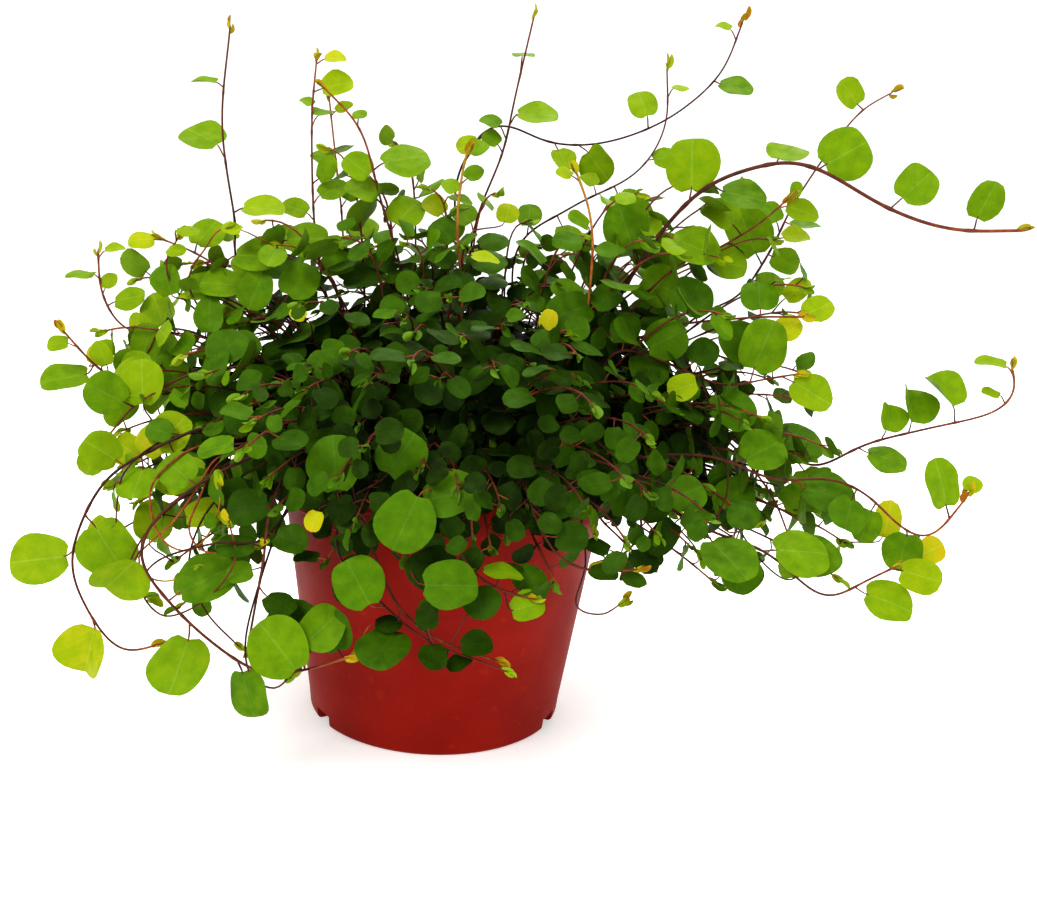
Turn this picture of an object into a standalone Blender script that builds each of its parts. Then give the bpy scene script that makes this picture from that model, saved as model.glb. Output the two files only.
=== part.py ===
"""A wire vine growing in its terracotta-red nursery pot.

Every size is in millimetres and becomes metres when a mesh is made. The origin is the centre of the
pot's underside, +Z is up and the plant is seen from -Y. Clock angles are seen from there too: 0
points to +X and 90 points up.
"""

import copy
import math
import random

import bmesh
import bpy
from mathutils import Matrix, Vector
from mathutils.bvhtree import BVHTree
from mathutils.geometry import intersect_point_line
from mathutils.kdtree import KDTree

MM = 0.001

# Pot: a thin moulded wall that tapers to the foot, with a wider band round the top.
POT_HEIGHT = 94.0
POT_RIM_RADIUS = 60.0
POT_FOOT_RADIUS = 44.8
POT_WALL_RADIUS = 45.6
POT_TAPER = 0.138
POT_WALL = 1.2
POT_SIDES = 32
BAND_HEIGHT = 14.5
BAND_STEP = 2.6
BAND_SLOPE = 0.7
LIP_THICKNESS = 2.0
LIP_HEIGHT = 2.4
LIP_ROUND = 0.5
FOOT_ROUND = 1.6
NOTCH_ANGLES = (217.0, 337.0, 97.0)
NOTCH_SIZE = (9.0, 9.0, 9.0)
DRAIN_HOLES = 5
DRAIN_RADIUS = 4.0
DRAIN_RING = 27.0
DRAIN_SIDES = 8

# Potting mix: fills the pot to below the rim, with a plain hole for each rooted stem.
MIX_TOP = 84.0
MIX_SIDES = 16
MIX_EDGE = (1.5, 0.8)
MIX_SIDE_GAP = 0.55
GAP = 0.3
ROOT_DEPTH = 9.0
ROOT_RADIUS = 1.25
ROOT_HOLE_SIDES = 4
ROOT_NECK = 2.0

# Stems: three-sided tubes whose lines are pushed apart until they clear each other and the pot.
STEM_SIDES = 3
STEM_CLEARANCE = 4.2
POT_CLEARANCE = 2.2
MIX_CLEARANCE = 1.6
OUTWARD_PULL = 2.0
SETTLING_ROUNDS = 60
EASING_ROUNDS = 3
ROUTE_STEP = 3.0
ROUTE_PIECES = 12
TUBE_TOLERANCE = 1.6
BUD_LENGTH = 4.0
BUD_GIRTHS = (1.0, 1.3, 0.45)

# Blades.
BLADE_THICKNESS = 0.65
BLADE_CLEARANCE = 0.45
FLOOR_CLEARANCE = 2.0
LARGE_BLADE = 13.5
SMALLEST_BLADE = 9.5
LARGE_PETIOLES = (3.0, 4.4)
SMALL_PETIOLES = (2.2, 3.2)
WAVES = (-0.05, 0.05)
CURLS = (-0.02, 0.12)

# Outline of a blade: share of its length from the base, and half its width over its length.
LARGE_OUTLINE = ((0.0, 0.08), (0.27, 0.45), (0.74, 0.43))
SMALL_OUTLINE = ((0.22, 0.40), (0.70, 0.42))

# Mound: tufts of short leafy stems over all of the mix, whose ends lie on a flattened dome. A fall is
# an angle in degrees down from the dome's top.
MOUND_TUFTS = 11
TUFT_RING = 44.0
TUFT_SPACING = 7.0
TUFT_NUDGE = math.radians(6)
GOLDEN_ANGLE = math.radians(137.508)
STEM_FALLS = (0.55, 1.0)
STEM_SPREAD = 0.7
MOUND_CENTRE_Z = 96.0
MOUND_REACH = Vector((118.0, 100.0, 70.0))
SKIRT_REACH_Z = 41.0
MOUND_TOP_FALL = 22.0
MOUND_FALL = 84.0
MOUND_RISE = 20.0
MOUND_LEAN = 0.12
MOUND_EASE = (20.0, 15.0)
MOUND_BLADES = 6
BARE_SHARE = 0.34
MOUND_GIRTH = 0.95
MOUND_BLADE_SIZES = (14.5, 18.5)
MOUND_TILTS = (5, 55)
SEED = 47

# Blades of a stem deeper than this face backwards.
BACK_DEPTH = 45.0

# Turns in degrees, about its stem and in its own plane, that a blade is tried at until it is clear.
SWINGS = (0, 15, -15, 30, -30, 50, -50, 80, -80, 120, -120, 180)
TWISTS = (0, 25, -25, 50, -50, 80, -80)

# Runners. root is the place in the mix, route the points that the stem passes after it, girth its
# radius, and blades a list of (share of the stem, clock angle, blade length, tilt). A positive tilt
# turns the blade's face up, and a negative one turns it to the side.
RUNNERS = {
    "left_tall": {
        "root": (-26, 12), "girth": 0.95,
        "route": [(-44, 12, 122), (-76, 5, 153), (-77, 0, 169), (-81, -3, 201), (-77, -8, 232)],
        "blades": [(0.45, 80, 16, 50), (0.56, 110, 8, 60), (0.64, 25, 14, 58), (0.75, 130, 16, 54),
                   (0.88, 145, 9, 70)],
    },
    "left_orange": {
        "root": (-14, 20), "girth": 0.95,
        "route": [(-26, 18, 118), (-44, 16, 137), (-54, 24, 163), (-59, 34, 206), (-59, 40, 232)],
        "blades": [(0.54, 110, 16, 50), (0.62, 125, 11, 42), (0.66, 50, 12, 43), (0.70, 70, 11, 10),
                   (0.83, 80, 9, 65), (0.87, 125, 7, 50), (0.92, 45, 12, 24), (1.0, 25, 8, 48)],
    },
    "left_bow": {
        "root": (-4, 10), "girth": 0.95,
        "route": [(-12, 8, 116), (-17, -1, 150), (-27, -7, 182), (-33, -13, 202), (-45, -17, 214)],
        "blades": [(0.52, 140, 12, 43), (0.63, 60, 13, 35), (0.69, 130, 12, 36), (0.75, 140, 11, 25),
                   (0.78, 35, 17, 49), (0.88, 90, 6, 50)],
    },
    "left_back": {
        "root": (-10, 34), "girth": 0.95,
        "route": [(-16, 34, 120), (-42, 33, 153), (-48, 37, 180), (-52, 41, 202), (-55, 44, 219)],
        "blades": [(0.49, 105, 14, 43), (0.57, 135, 11, 42), (0.61, 80, 13, 45), (0.71, 60, 10, 32),
                   (0.80, 130, 10, 49), (0.95, 40, 7, 30)],
    },
    "centre_tall": {
        "root": (6, 14), "girth": 0.95,
        "route": [(4, 14, 120), (4, 6, 169), (13, 4, 199), (16, 0, 216), (21, -4, 243)],
        "blades": [(0.50, 40, 12, 49), (0.54, 100, 10, 42), (0.72, 130, 7, 28), (0.75, 125, 8, 51),
                   (0.77, 70, 14, 53), (0.88, 70, 10, 70)],
    },
    "centre_orange": {
        "root": (2, -6), "girth": 0.95,
        "route": [(0, -8, 112), (3, -9, 146), (0, -12, 172), (1, -15, 191), (3, -20, 198)],
        "blades": [(0.61, 60, 14, 56), (0.64, 145, 11, 46), (0.71, 135, 11, 34), (0.84, 120, 7, 43),
                   (0.88, 55, 7, 35), (0.95, 55, 8, 41)],
    },
    "high_arch": {
        "root": (12, 26), "girth": 0.95,
        "route": [(10, 27, 122), (-4, 24, 180), (2, 26, 204), (12, 28, 211), (30, 31, 206),
                  (50, 35, 208), (72, 38, 218), (90, 41, 235), (97, 42, 255)],
        "blades": [(0.52, 225, 9, 35), (0.63, 290, 10, 39), (0.67, 320, 14, -47), (0.78, 105, 13, 33),
                   (0.90, 345, 13, 51), (0.97, 125, 6, 51)],
    },
    "right_lean": {
        "root": (20, 18), "girth": 0.95,
        "route": [(24, 18, 120), (19, 17, 165), (38, 22, 183), (61, 28, 197), (71, 34, 215),
                  (70, 38, 237)],
        "blades": [(0.49, 90, 11, 42), (0.57, 295, 12, 45), (0.66, 110, 8, 47), (0.70, 305, 17, 23),
                   (0.79, 15, 11, 32), (0.93, 70, 7, 60)],
    },
    "right_orange": {
        "root": (16, -12), "girth": 0.95,
        "route": [(22, -14, 108), (42, -20, 136), (45, -21, 163), (43, -23, 180), (37, -27, 193)],
        "blades": [(0.60, 45, 11, 34), (0.62, 140, 11, 35), (0.74, 55, 10, 53), (0.79, 175, 11, 45),
                   (0.96, 120, 6, 40)],
    },
    "right_arch": {
        "root": (30, 2), "girth": 1.1,
        "route": [(42, -2, 118), (60, -7, 162), (77, -13, 188), (95, -19, 198), (111, -24, 199),
                  (135, -32, 187), (153, -38, 182), (173, -42, 183)],
        "blades": [(0.37, 345, 14, -25), (0.42, 95, 10, 42), (0.45, 330, 17, 43), (0.51, 45, 18, -22),
                   (0.55, 330, 15, 49), (0.64, 25, 13, 60), (0.70, 345, 17, 10), (0.82, 50, 14, 21),
                   (0.93, 40, 12, -35)],
    },
    "right_tip": {
        "root": (38, 16), "girth": 0.95,
        "route": [(56, 16, 112), (84, 13, 146), (101, 16, 156), (112, 20, 174), (120, 25, 192),
                  (139, 32, 222), (154, 38, 233)],
        "blades": [(0.53, 20, 12, 31), (0.57, 92, 18, -16), (0.59, 340, 11, 10), (0.61, 157, 13, 52),
                   (0.64, 50, 10, 36), (0.66, 345, 11, 70), (0.70, 95, 6, -31), (0.92, 135, 11, -20)],
    },
    "right_round": {
        "root": (34, -14), "girth": 0.95,
        "route": [(46, -18, 110), (54, -20, 136), (72, -22, 134), (90, -24, 128), (103, -26, 131),
                  (115, -27, 134)],
        "blades": [(0.49, 85, 12, 38), (0.53, 30, 15, -20), (0.66, 295, 9, 26), (0.68, 60, 11, 34),
                   (0.76, 300, 15, 42), (0.82, 97, 11, 45), (0.86, 50, 17, -29), (0.93, 110, 8, 10),
                   (0.95, 335, 14, 17)],
    },
    "right_long": {
        "root": (44, 6), "girth": 0.95,
        "route": [(62, 2, 103), (88, -3, 113), (119, -3, 103), (131, -4, 99), (148, -2, 108),
                  (169, 2, 114), (194, 6, 121), (203, 10, 129), (202, 14, 138)],
        "blades": [(0.31, 10, 17, 60), (0.41, 10, 20, 54), (0.49, 345, 18, 38), (0.61, 340, 15, 60),
                   (0.66, 75, 11, 24), (0.71, 50, 17, 46), (0.81, 105, 16, 40), (0.92, 135, 7, 56),
                   (0.98, 130, 11, 70)],
    },
    "right_low": {
        "root": (38, -22), "girth": 0.95,
        "route": [(56, -30, 101), (85, -38, 107), (107, -40, 101), (124, -42, 103), (136, -44, 99),
                  (147, -45, 90), (157, -46, 87), (167, -45, 101)],
        "blades": [(0.44, 0, 15, 38), (0.57, 325, 17, 50), (0.70, 250, 13, 31), (0.75, 305, 11, 10),
                   (0.84, 315, 13, -31), (0.94, 110, 15, -42), (1.0, 70, 7, 43)],
    },
    "right_under": {
        "root": (30, -32), "girth": 0.95,
        "route": [(44, -44, 99), (60, -56, 99), (84, -58, 88), (103, -58, 82), (122, -58, 69),
                  (134, -58, 75), (144, -58, 81)],
        "blades": [(0.39, 10, 13, 39), (0.44, 240, 12, 36), (0.50, 320, 18, 59), (0.58, 80, 12, 47),
                   (0.61, 257, 13, 28), (0.64, 10, 18, 56), (0.74, 35, 14, -31), (0.89, 330, 15, 45),
                   (0.98, 355, 12, -31)],
    },
    "left_upper": {
        "root": (-38, 10), "girth": 0.95,
        "route": [(-60, 8, 112), (-94, 5, 131), (-117, 8, 129), (-128, 11, 141), (-131, 15, 157)],
        "blades": [(0.53, 80, 13, 42), (0.58, 237, 14, 41), (0.64, 200, 13, 27), (0.84, 25, 12, 45),
                   (0.87, 80, 7, 36), (0.92, 155, 11, 74), (0.98, 45, 7, 61)],
    },
    "left_out": {
        "root": (-40, -4), "girth": 0.95,
        "route": [(-64, -10, 106), (-84, -22, 114), (-98, -26, 112), (-112, -30, 120),
                  (-123, -33, 133)],
        "blades": [(0.49, 235, 15, 39), (0.55, 163, 13, 5), (0.70, 180, 10, 60), (0.78, 50, 10, 32),
                   (0.81, 110, 8, -40), (0.83, 162, 10, 53), (0.86, 230, 15, 57), (0.93, 155, 7, 35)],
    },
    "left_fall": {
        "root": (-34, -16), "girth": 0.95,
        "route": [(-54, -28, 101), (-70, -44, 107), (-88, -50, 99), (-102, -54, 88), (-110, -58, 66),
                  (-105, -60, 50), (-94, -61, 37), (-82, -61, 40)],
        "blades": [(0.25, 155, 13, 31), (0.39, 175, 9, 33), (0.42, 297, 15, 35), (0.47, 235, 14, 47),
                   (0.51, 145, 13, -41), (0.63, 307, 17, 19), (0.71, 200, 18, 32),
                   (0.85, 254, 17, -40)],
    },
    "left_sweep": {
        "root": (-28, -28), "girth": 0.95,
        "route": [(-42, -40, 101), (-57, -60, 100), (-77, -68, 86), (-84, -71, 72), (-74, -73, 58),
                  (-58, -76, 46), (-45, -77, 40), (-31, -78, 43), (-19, -78, 48)],
        "blades": [(0.32, 233, 12, -31), (0.38, 142, 13, 42), (0.53, 281, 15, -11), (0.63, 40, 18, 45),
                   (0.68, 285, 18, 45), (0.79, 310, 16, -31), (0.84, 66, 19, 36), (0.98, 110, 12, 12)],
    },
    "left_drop": {
        "root": (-18, -34), "girth": 0.95,
        "route": [(-27, -48, 101), (-41, -64, 100), (-46, -70, 88), (-47, -72, 74), (-49, -73, 60),
                  (-51, -74, 46)],
        "blades": [(0.42, 133, 13, 39), (0.50, 343, 11, 26), (0.56, 190, 12, 31), (0.64, 345, 10, 40),
                   (0.68, 180, 12, 60), (0.75, 200, 8, 21), (0.80, 305, 11, 60)],
    },
    "front_left": {
        "root": (-8, -38), "girth": 0.95,
        "route": [(-12, -52, 103), (-23, -67, 101), (-19, -72, 88), (-12, -74, 73), (-7, -75, 63),
                  (5, -76, 54), (25, -76, 48)],
        "blades": [(0.24, 184, 18, -35), (0.28, 26, 15, -11), (0.45, 0, 17, -10), (0.54, 248, 16, 0),
                   (0.71, 258, 16, 64), (0.75, 40, 7, -23), (0.80, 324, 10, 62)],
    },
    "front_mid": {
        "root": (6, -38), "girth": 0.95,
        "route": [(6, -53, 103), (3, -67, 103), (6, -72, 92), (11, -74, 79), (20, -75, 71),
                  (33, -75, 68)],
        "blades": [(0.26, 0, 11, 30), (0.36, 289, 14, 33), (0.52, 209, 9, 41), (0.64, 265, 15, 50),
                   (0.78, 310, 12, 60), (0.86, 60, 8, 70), (0.92, 340, 10, 45)],
    },
    "front_right": {
        "root": (20, -34), "girth": 0.95,
        "route": [(26, -48, 102), (27, -62, 103), (31, -68, 92), (38, -70, 81), (47, -69, 76),
                  (64, -68, 77)],
        "blades": [(0.38, 318, 11, 33), (0.42, 230, 9, 20), (0.52, 329, 9, 48), (0.55, 20, 10, 40),
                   (0.64, 345, 10, 19), (0.80, 340, 9, 70), (0.92, 15, 8, 70)],
    },
    "right_loop": {
        "root": (28, -24), "girth": 0.95,
        "route": [(39, -36, 102), (48, -50, 104), (59, -56, 97), (65, -58, 88), (60, -60, 79),
                  (52, -62, 76)],
        "blades": [(0.50, 271, 9, 36), (0.58, 355, 9, 53), (0.68, 304, 11, 43), (0.73, 30, 10, 41),
                   (0.82, 284, 10, 53), (0.92, 163, 8, 52)],
    },
    "left_bush": {
        "root": (-20, 0), "girth": 0.95,
        "route": [(-30, -2, 114), (-62, -6, 142), (-86, -4, 157), (-104, 0, 163)],
        "blades": [(0.44, 60, 14, 45), (0.55, 280, 14, 40), (0.66, 100, 14, 45), (0.77, 200, 13, 40),
                   (0.88, 70, 13, 35), (0.98, 180, 10, 40)],
    },
    "left_fan": {
        "root": (-24, -10), "girth": 0.95,
        "route": [(-38, -16, 108), (-68, -30, 124), (-94, -36, 114), (-108, -38, 98)],
        "blades": [(0.40, 100, 14, 45), (0.52, 250, 14, 35), (0.64, 60, 14, 40), (0.76, 200, 15, 35),
                   (0.87, 100, 13, 40), (0.98, 250, 11, 35)],
    },
    "right_bush": {
        "root": (28, 20), "girth": 0.95,
        "route": [(38, 16, 122), (58, 6, 152), (82, -2, 168), (100, -4, 180), (110, -4, 190)],
        "blades": [(0.42, 90, 13, 40), (0.53, 330, 14, 35), (0.64, 110, 14, 40), (0.75, 350, 14, 30),
                   (0.86, 130, 13, 35), (0.97, 20, 11, 30)],
    },
    "right_fan": {
        "root": (24, -2), "girth": 0.95,
        "route": [(34, -8, 114), (64, -18, 142), (94, -22, 150), (116, -22, 152)],
        "blades": [(0.42, 80, 14, 45), (0.54, 300, 14, 35), (0.66, 70, 14, 40), (0.77, 320, 14, 35),
                   (0.88, 90, 13, 40), (0.98, 0, 11, 35)],
    },
    "right_bend": {
        "root": (40, -6), "girth": 0.95,
        "route": [(56, -12, 106), (86, -22, 114), (108, -28, 96), (118, -30, 78)],
        "blades": [(0.40, 70, 14, 45), (0.52, 250, 13, 35), (0.64, 40, 14, 40), (0.76, 230, 14, 35),
                   (0.88, 30, 13, 40), (0.98, 280, 11, 35)],
    },
    "back_left": {
        "root": (-30, 28), "girth": 0.95,
        "route": [(-50, 44, 106), (-74, 66, 112), (-92, 82, 98), (-103, 92, 76), (-108, 97, 54)],
        "blades": [(0.34, 130, 13, 45), (0.42, 300, 14, 40), (0.50, 160, 12, 30), (0.58, 20, 13, 45),
                   (0.67, 200, 15, 35), (0.76, 330, 13, 30), (0.86, 190, 14, 40), (0.96, 290, 10, 30)],
    },
    "back_middle": {
        "root": (-4, 43), "girth": 0.95,
        "route": [(-6, 60, 106), (-14, 84, 110), (-24, 103, 90), (-28, 110, 62)],
        "blades": [(0.34, 60, 12, 45), (0.44, 170, 14, 40), (0.54, 10, 13, 35), (0.64, 190, 15, 30),
                   (0.75, 340, 14, 35), (0.86, 200, 12, 40), (0.96, 280, 10, 30)],
    },
    "back_reach": {
        "root": (16, 40), "girth": 0.95,
        "route": [(24, 62, 116), (42, 86, 136), (62, 102, 145), (84, 110, 142)],
        "blades": [(0.36, 120, 12, 45), (0.46, 330, 14, 40), (0.56, 100, 13, 45), (0.66, 300, 14, 35),
                   (0.77, 80, 12, 40), (0.87, 290, 11, 45), (0.97, 30, 8, 30)],
    },
    "back_right": {
        "root": (32, 30), "girth": 0.95,
        "route": [(46, 44, 104), (66, 64, 112), (86, 80, 100), (98, 86, 78), (100, 88, 56)],
        "blades": [(0.32, 60, 13, 45), (0.42, 240, 14, 40), (0.52, 30, 13, 35), (0.62, 220, 15, 35),
                   (0.72, 350, 14, 30), (0.83, 190, 12, 40), (0.94, 320, 11, 30)],
    },
}


def new_object(name, mesh):
    """A mesh object in the scene, its mesh's millimetres turned into metres."""
    mesh.transform(Matrix.Scale(MM, 4))
    created = bpy.data.objects.new(name, mesh)
    bpy.context.scene.collection.objects.link(created)
    return created


def plain_material(name, colour, roughness):
    material = bpy.data.materials.new(name)
    material.use_nodes = True
    shader = material.node_tree.nodes["Principled BSDF"]
    shader.inputs["Base Color"].default_value = (*colour, 1.0)
    shader.inputs["Roughness"].default_value = roughness
    shader.inputs["Metallic"].default_value = 0.0
    return material


def mesh_of(points, faces):
    mesh = bpy.data.meshes.new("shape")
    mesh.from_pydata(points, [], faces)
    return mesh


def turned(name, profile, sides):
    """A closed solid: the profile, (radius, z) pairs that start and end on the axis, spun about Z."""
    points = []
    faces = []
    rings = []
    for radius, z in profile:
        if radius == 0.0:
            rings.append([len(points)])
            points.append((0.0, 0.0, z))
            continue
        rings.append(list(range(len(points), len(points) + sides)))
        for k in range(sides):
            angle = math.tau * k / sides
            points.append((radius * math.cos(angle), radius * math.sin(angle), z))
    for low, high in zip(rings, rings[1:]):
        for k in range(sides):
            after = (k + 1) % sides
            if len(low) == 1:
                faces.append((low[0], high[after], high[k]))
            elif len(high) == 1:
                faces.append((low[k], low[after], high[0]))
            else:
                faces.append((low[k], low[after], high[after], high[k]))
    return new_object(name, mesh_of(points, faces))


def block(name, size, centre, turn):
    """A box cutter turned about Z after it is placed along X."""
    mesh = bpy.data.meshes.new(name)
    shape = bmesh.new()
    bmesh.ops.create_cube(shape, size=1.0)
    bmesh.ops.scale(shape, vec=Vector(size), verts=shape.verts)
    bmesh.ops.translate(shape, vec=Vector(centre), verts=shape.verts)
    bmesh.ops.rotate(shape, cent=Vector(), matrix=Matrix.Rotation(turn, 3, "Z"), verts=shape.verts)
    shape.to_mesh(mesh)
    shape.free()
    return new_object(name, mesh)


def upright(name, radius, low, high, place, sides):
    """An upright cutter with the given number of sides."""
    mesh = bpy.data.meshes.new(name)
    shape = bmesh.new()
    bmesh.ops.create_cone(
        shape, cap_ends=True, segments=sides, radius1=radius, radius2=radius, depth=high - low
    )
    bmesh.ops.translate(shape, vec=Vector((*place, (low + high) / 2)), verts=shape.verts)
    shape.to_mesh(mesh)
    shape.free()
    return new_object(name, mesh)


def cut_all(target, cutters, label):
    """Takes the cutters out of the target, and leaves them in the file as hidden helpers."""
    group = bpy.data.collections.new(label)
    bpy.context.scene.collection.children.link(group)
    for cutter in cutters:
        group.objects.link(cutter)
        bpy.context.scene.collection.objects.unlink(cutter)
        cutter.hide_render = True
        cutter.display_type = "WIRE"
    cut = target.modifiers.new(label, "BOOLEAN")
    cut.operation = "DIFFERENCE"
    cut.operand_type = "COLLECTION"
    cut.collection = group


def wall_radius(z):
    """Outer radius of the pot's tapered wall, without the band."""
    return POT_WALL_RADIUS + POT_TAPER * z


def outer_radius(z):
    """Outer radius of the pot with its band."""
    if z >= POT_HEIGHT - BAND_HEIGHT:
        return POT_RIM_RADIUS
    return wall_radius(z)


def build_pot(material):
    band_foot = POT_HEIGHT - BAND_HEIGHT
    wall_top = wall_radius(band_foot)
    band_low = wall_top + BAND_STEP
    lip_foot = POT_HEIGHT - LIP_HEIGHT
    profile = [
        (0.0, 0.0),
        (POT_FOOT_RADIUS - FOOT_ROUND, 0.0),
        (POT_FOOT_RADIUS - 0.3 * FOOT_ROUND, 0.3 * FOOT_ROUND),
        (wall_radius(1.4 * FOOT_ROUND), 1.4 * FOOT_ROUND),
        (wall_top, band_foot),
        (band_low, band_foot + BAND_SLOPE),
        (POT_RIM_RADIUS - LIP_ROUND, lip_foot),
        (POT_RIM_RADIUS, lip_foot + LIP_ROUND),
        (POT_RIM_RADIUS, POT_HEIGHT - LIP_ROUND),
        (POT_RIM_RADIUS - LIP_ROUND, POT_HEIGHT),
        (POT_RIM_RADIUS - LIP_THICKNESS, POT_HEIGHT),
        (band_low - POT_WALL, band_foot + 2 * POT_WALL),
        (wall_top - POT_WALL, band_foot + POT_WALL),
        (wall_radius(POT_WALL) - 1.3 * POT_WALL, POT_WALL),
        (0.0, POT_WALL),
    ]
    pot = turned("pot", profile, POT_SIDES)
    pot.data.shade_smooth()
    pot.data.set_sharp_from_angle(angle=math.radians(35))
    pot.data.materials.append(material)
    notch_place = (POT_FOOT_RADIUS, 0.0, 0.0)
    cutters = [
        block("notch_cutter", NOTCH_SIZE, notch_place, math.radians(angle)) for angle in NOTCH_ANGLES
    ]
    for k in range(DRAIN_HOLES):
        angle = math.tau * (k + 0.5) / DRAIN_HOLES
        place = (DRAIN_RING * math.cos(angle), DRAIN_RING * math.sin(angle))
        cutters.append(
            upright("drain_cutter", DRAIN_RADIUS, -POT_WALL, 2 * POT_WALL, place, DRAIN_SIDES)
        )
    cut_all(pot, cutters, "pot_openings")
    return pot


def build_mix(material, roots):
    """The potting mix, one solid with a plain square hole round each rooted stem."""
    band_foot = POT_HEIGHT - BAND_HEIGHT
    foot = POT_WALL + GAP
    side = POT_WALL + MIX_SIDE_GAP
    edge_width, edge_depth = MIX_EDGE
    profile = [
        (0.0, foot),
        (wall_radius(foot) - 1.3 * side, foot),
        (wall_radius(band_foot) - side, band_foot),
        (wall_radius(band_foot) - side, MIX_TOP - edge_depth),
        (wall_radius(band_foot) - side - edge_width, MIX_TOP),
        (0.0, MIX_TOP),
    ]
    mix = turned("potting_mix", profile, MIX_SIDES)
    mix.data.materials.append(material)
    low = MIX_TOP - ROOT_DEPTH - GAP
    high = MIX_TOP + ROOT_DEPTH
    cutters = [
        upright("root_hole", ROOT_RADIUS + 2 * GAP, low, high, root, ROOT_HOLE_SIDES) for root in roots
    ]
    cut_all(mix, cutters, "root_holes")
    return mix


def smooth_route(points, step):
    """Evenly spaced points of a Catmull-Rom curve through the route's points."""
    ends = [2 * points[0] - points[1], *points, 2 * points[-1] - points[-2]]
    fine = []
    for a, b, c, d in zip(ends, ends[1:], ends[2:], ends[3:]):
        for k in range(ROUTE_PIECES):
            t = k / ROUTE_PIECES
            fine.append(
                0.5 * (2 * b + (c - a) * t + (2 * a - 5 * b + 4 * c - d) * t * t
                       + (3 * b - a - 3 * c + d) * t ** 3)
            )
    fine.append(points[-1])
    return evenly(fine, step)


def evenly(line, step):
    """The same line with its points a step apart."""
    length = sum((b - a).length for a, b in zip(line, line[1:]))
    count = max(2, round(length / step))
    return [point_at(line, k / count) for k in range(count + 1)]


def point_at(line, share):
    """The point at a share of the line's length."""
    lengths = [(b - a).length for a, b in zip(line, line[1:])]
    left = share * sum(lengths)
    for (a, b), length in zip(zip(line, line[1:]), lengths):
        if left <= length:
            return a.lerp(b, left / length)
        left -= length
    return line[-1].copy()


class Stem:
    """One stem: its node's name, its centre line, its radius and the blades wanted on it."""

    def __init__(self, node, line, girth, blades, of_mound):
        self.node = node
        self.line = line
        self.girth = girth
        self.blades = blades
        self.of_mound = of_mound


def runner_stems():
    stems = []
    for name, runner in RUNNERS.items():
        x, y = runner["root"]
        route = [Vector((x, y, MIX_TOP)), Vector((x, y, MIX_TOP + 2 * ROOT_NECK))]
        route += [Vector(point) for point in runner["route"]]
        line = smooth_route(route, ROUTE_STEP)
        stems.append(Stem("runner_" + name, line, runner["girth"], runner["blades"], False))
    return stems


def tuft_roots():
    """Places for the mound's tufts, spread over the mix and clear of the runners' roots."""
    taken = [Vector(runner["root"]) for runner in RUNNERS.values()]
    places = []
    for number in range(MOUND_TUFTS):
        radius = TUFT_RING * math.sqrt((number + 0.5) / MOUND_TUFTS)
        angle = number * GOLDEN_ANGLE
        place = Vector((math.cos(angle), math.sin(angle))) * radius
        while any((place - other).length < TUFT_SPACING for other in taken + places):
            angle += TUFT_NUDGE
            place = Vector((math.cos(angle), math.sin(angle))) * radius
        places.append(place)
    return places


def mound_point(azimuth, fall):
    """A point on the mound's dome, fall degrees down from its top."""
    rise = math.cos(math.radians(fall))
    out = math.sin(math.radians(fall))
    reach_z = MOUND_REACH.z if rise > 0 else SKIRT_REACH_Z
    return Vector((
        MOUND_REACH.x * out * math.cos(azimuth),
        MOUND_REACH.y * out * math.sin(azimuth),
        MOUND_CENTRE_Z + reach_z * rise,
    ))


def mound_line(root, end, azimuth):
    """A stem that rises from its root, leans out and comes down to its end."""
    back, up = MOUND_EASE
    out = Vector((math.cos(azimuth), math.sin(azimuth), 0.0))
    rise = root + Vector((0, 0, MOUND_RISE)) + MOUND_LEAN * (end - root)
    ease = end - back * out + Vector((0, 0, up))
    line = []
    for k in range(2 * ROUTE_PIECES + 1):
        t = k / (2 * ROUTE_PIECES)
        left = 1 - t
        line.append(left ** 3 * root + 3 * t * left ** 2 * rise + 3 * t * t * left * ease + t ** 3 * end)
    return evenly(line, ROUTE_STEP)


def mound_blades(draw):
    """Blades along a mound stem, on one side and the other in turn, smaller towards its tip."""
    blades = []
    for leaf in range(MOUND_BLADES):
        place = (leaf + draw.uniform(0.1, 0.9)) / MOUND_BLADES
        share = BARE_SHARE + (1 - BARE_SHARE) * place
        size = draw.uniform(*MOUND_BLADE_SIZES) * (1.12 - 0.35 * share)
        side = 1 if leaf % 2 else -1
        blades.append((share, side, size, draw.uniform(*MOUND_TILTS)))
    return blades


def mound_stems():
    """Short arching stems from each tuft's root to their ends on the mound's dome."""
    stems = []
    for number, place in enumerate(tuft_roots()):
        draw = random.Random(SEED * 1000 + number)
        heading = math.atan2(place.y, place.x)
        furthest = MOUND_TOP_FALL + MOUND_FALL * place.length / TUFT_RING
        root = Vector((place.x, place.y, MIX_TOP))
        for k, share in enumerate(STEM_FALLS):
            azimuth = heading + STEM_SPREAD * (k - 0.5) + draw.uniform(-0.15, 0.15)
            end = mound_point(azimuth, furthest * share) * draw.uniform(0.90, 1.0)
            line = mound_line(root, end, azimuth)
            name = "tuft_%02d" % (number + 1)
            stems.append(Stem(name, line, MOUND_GIRTH, mound_blades(draw), True))
    return stems


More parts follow.
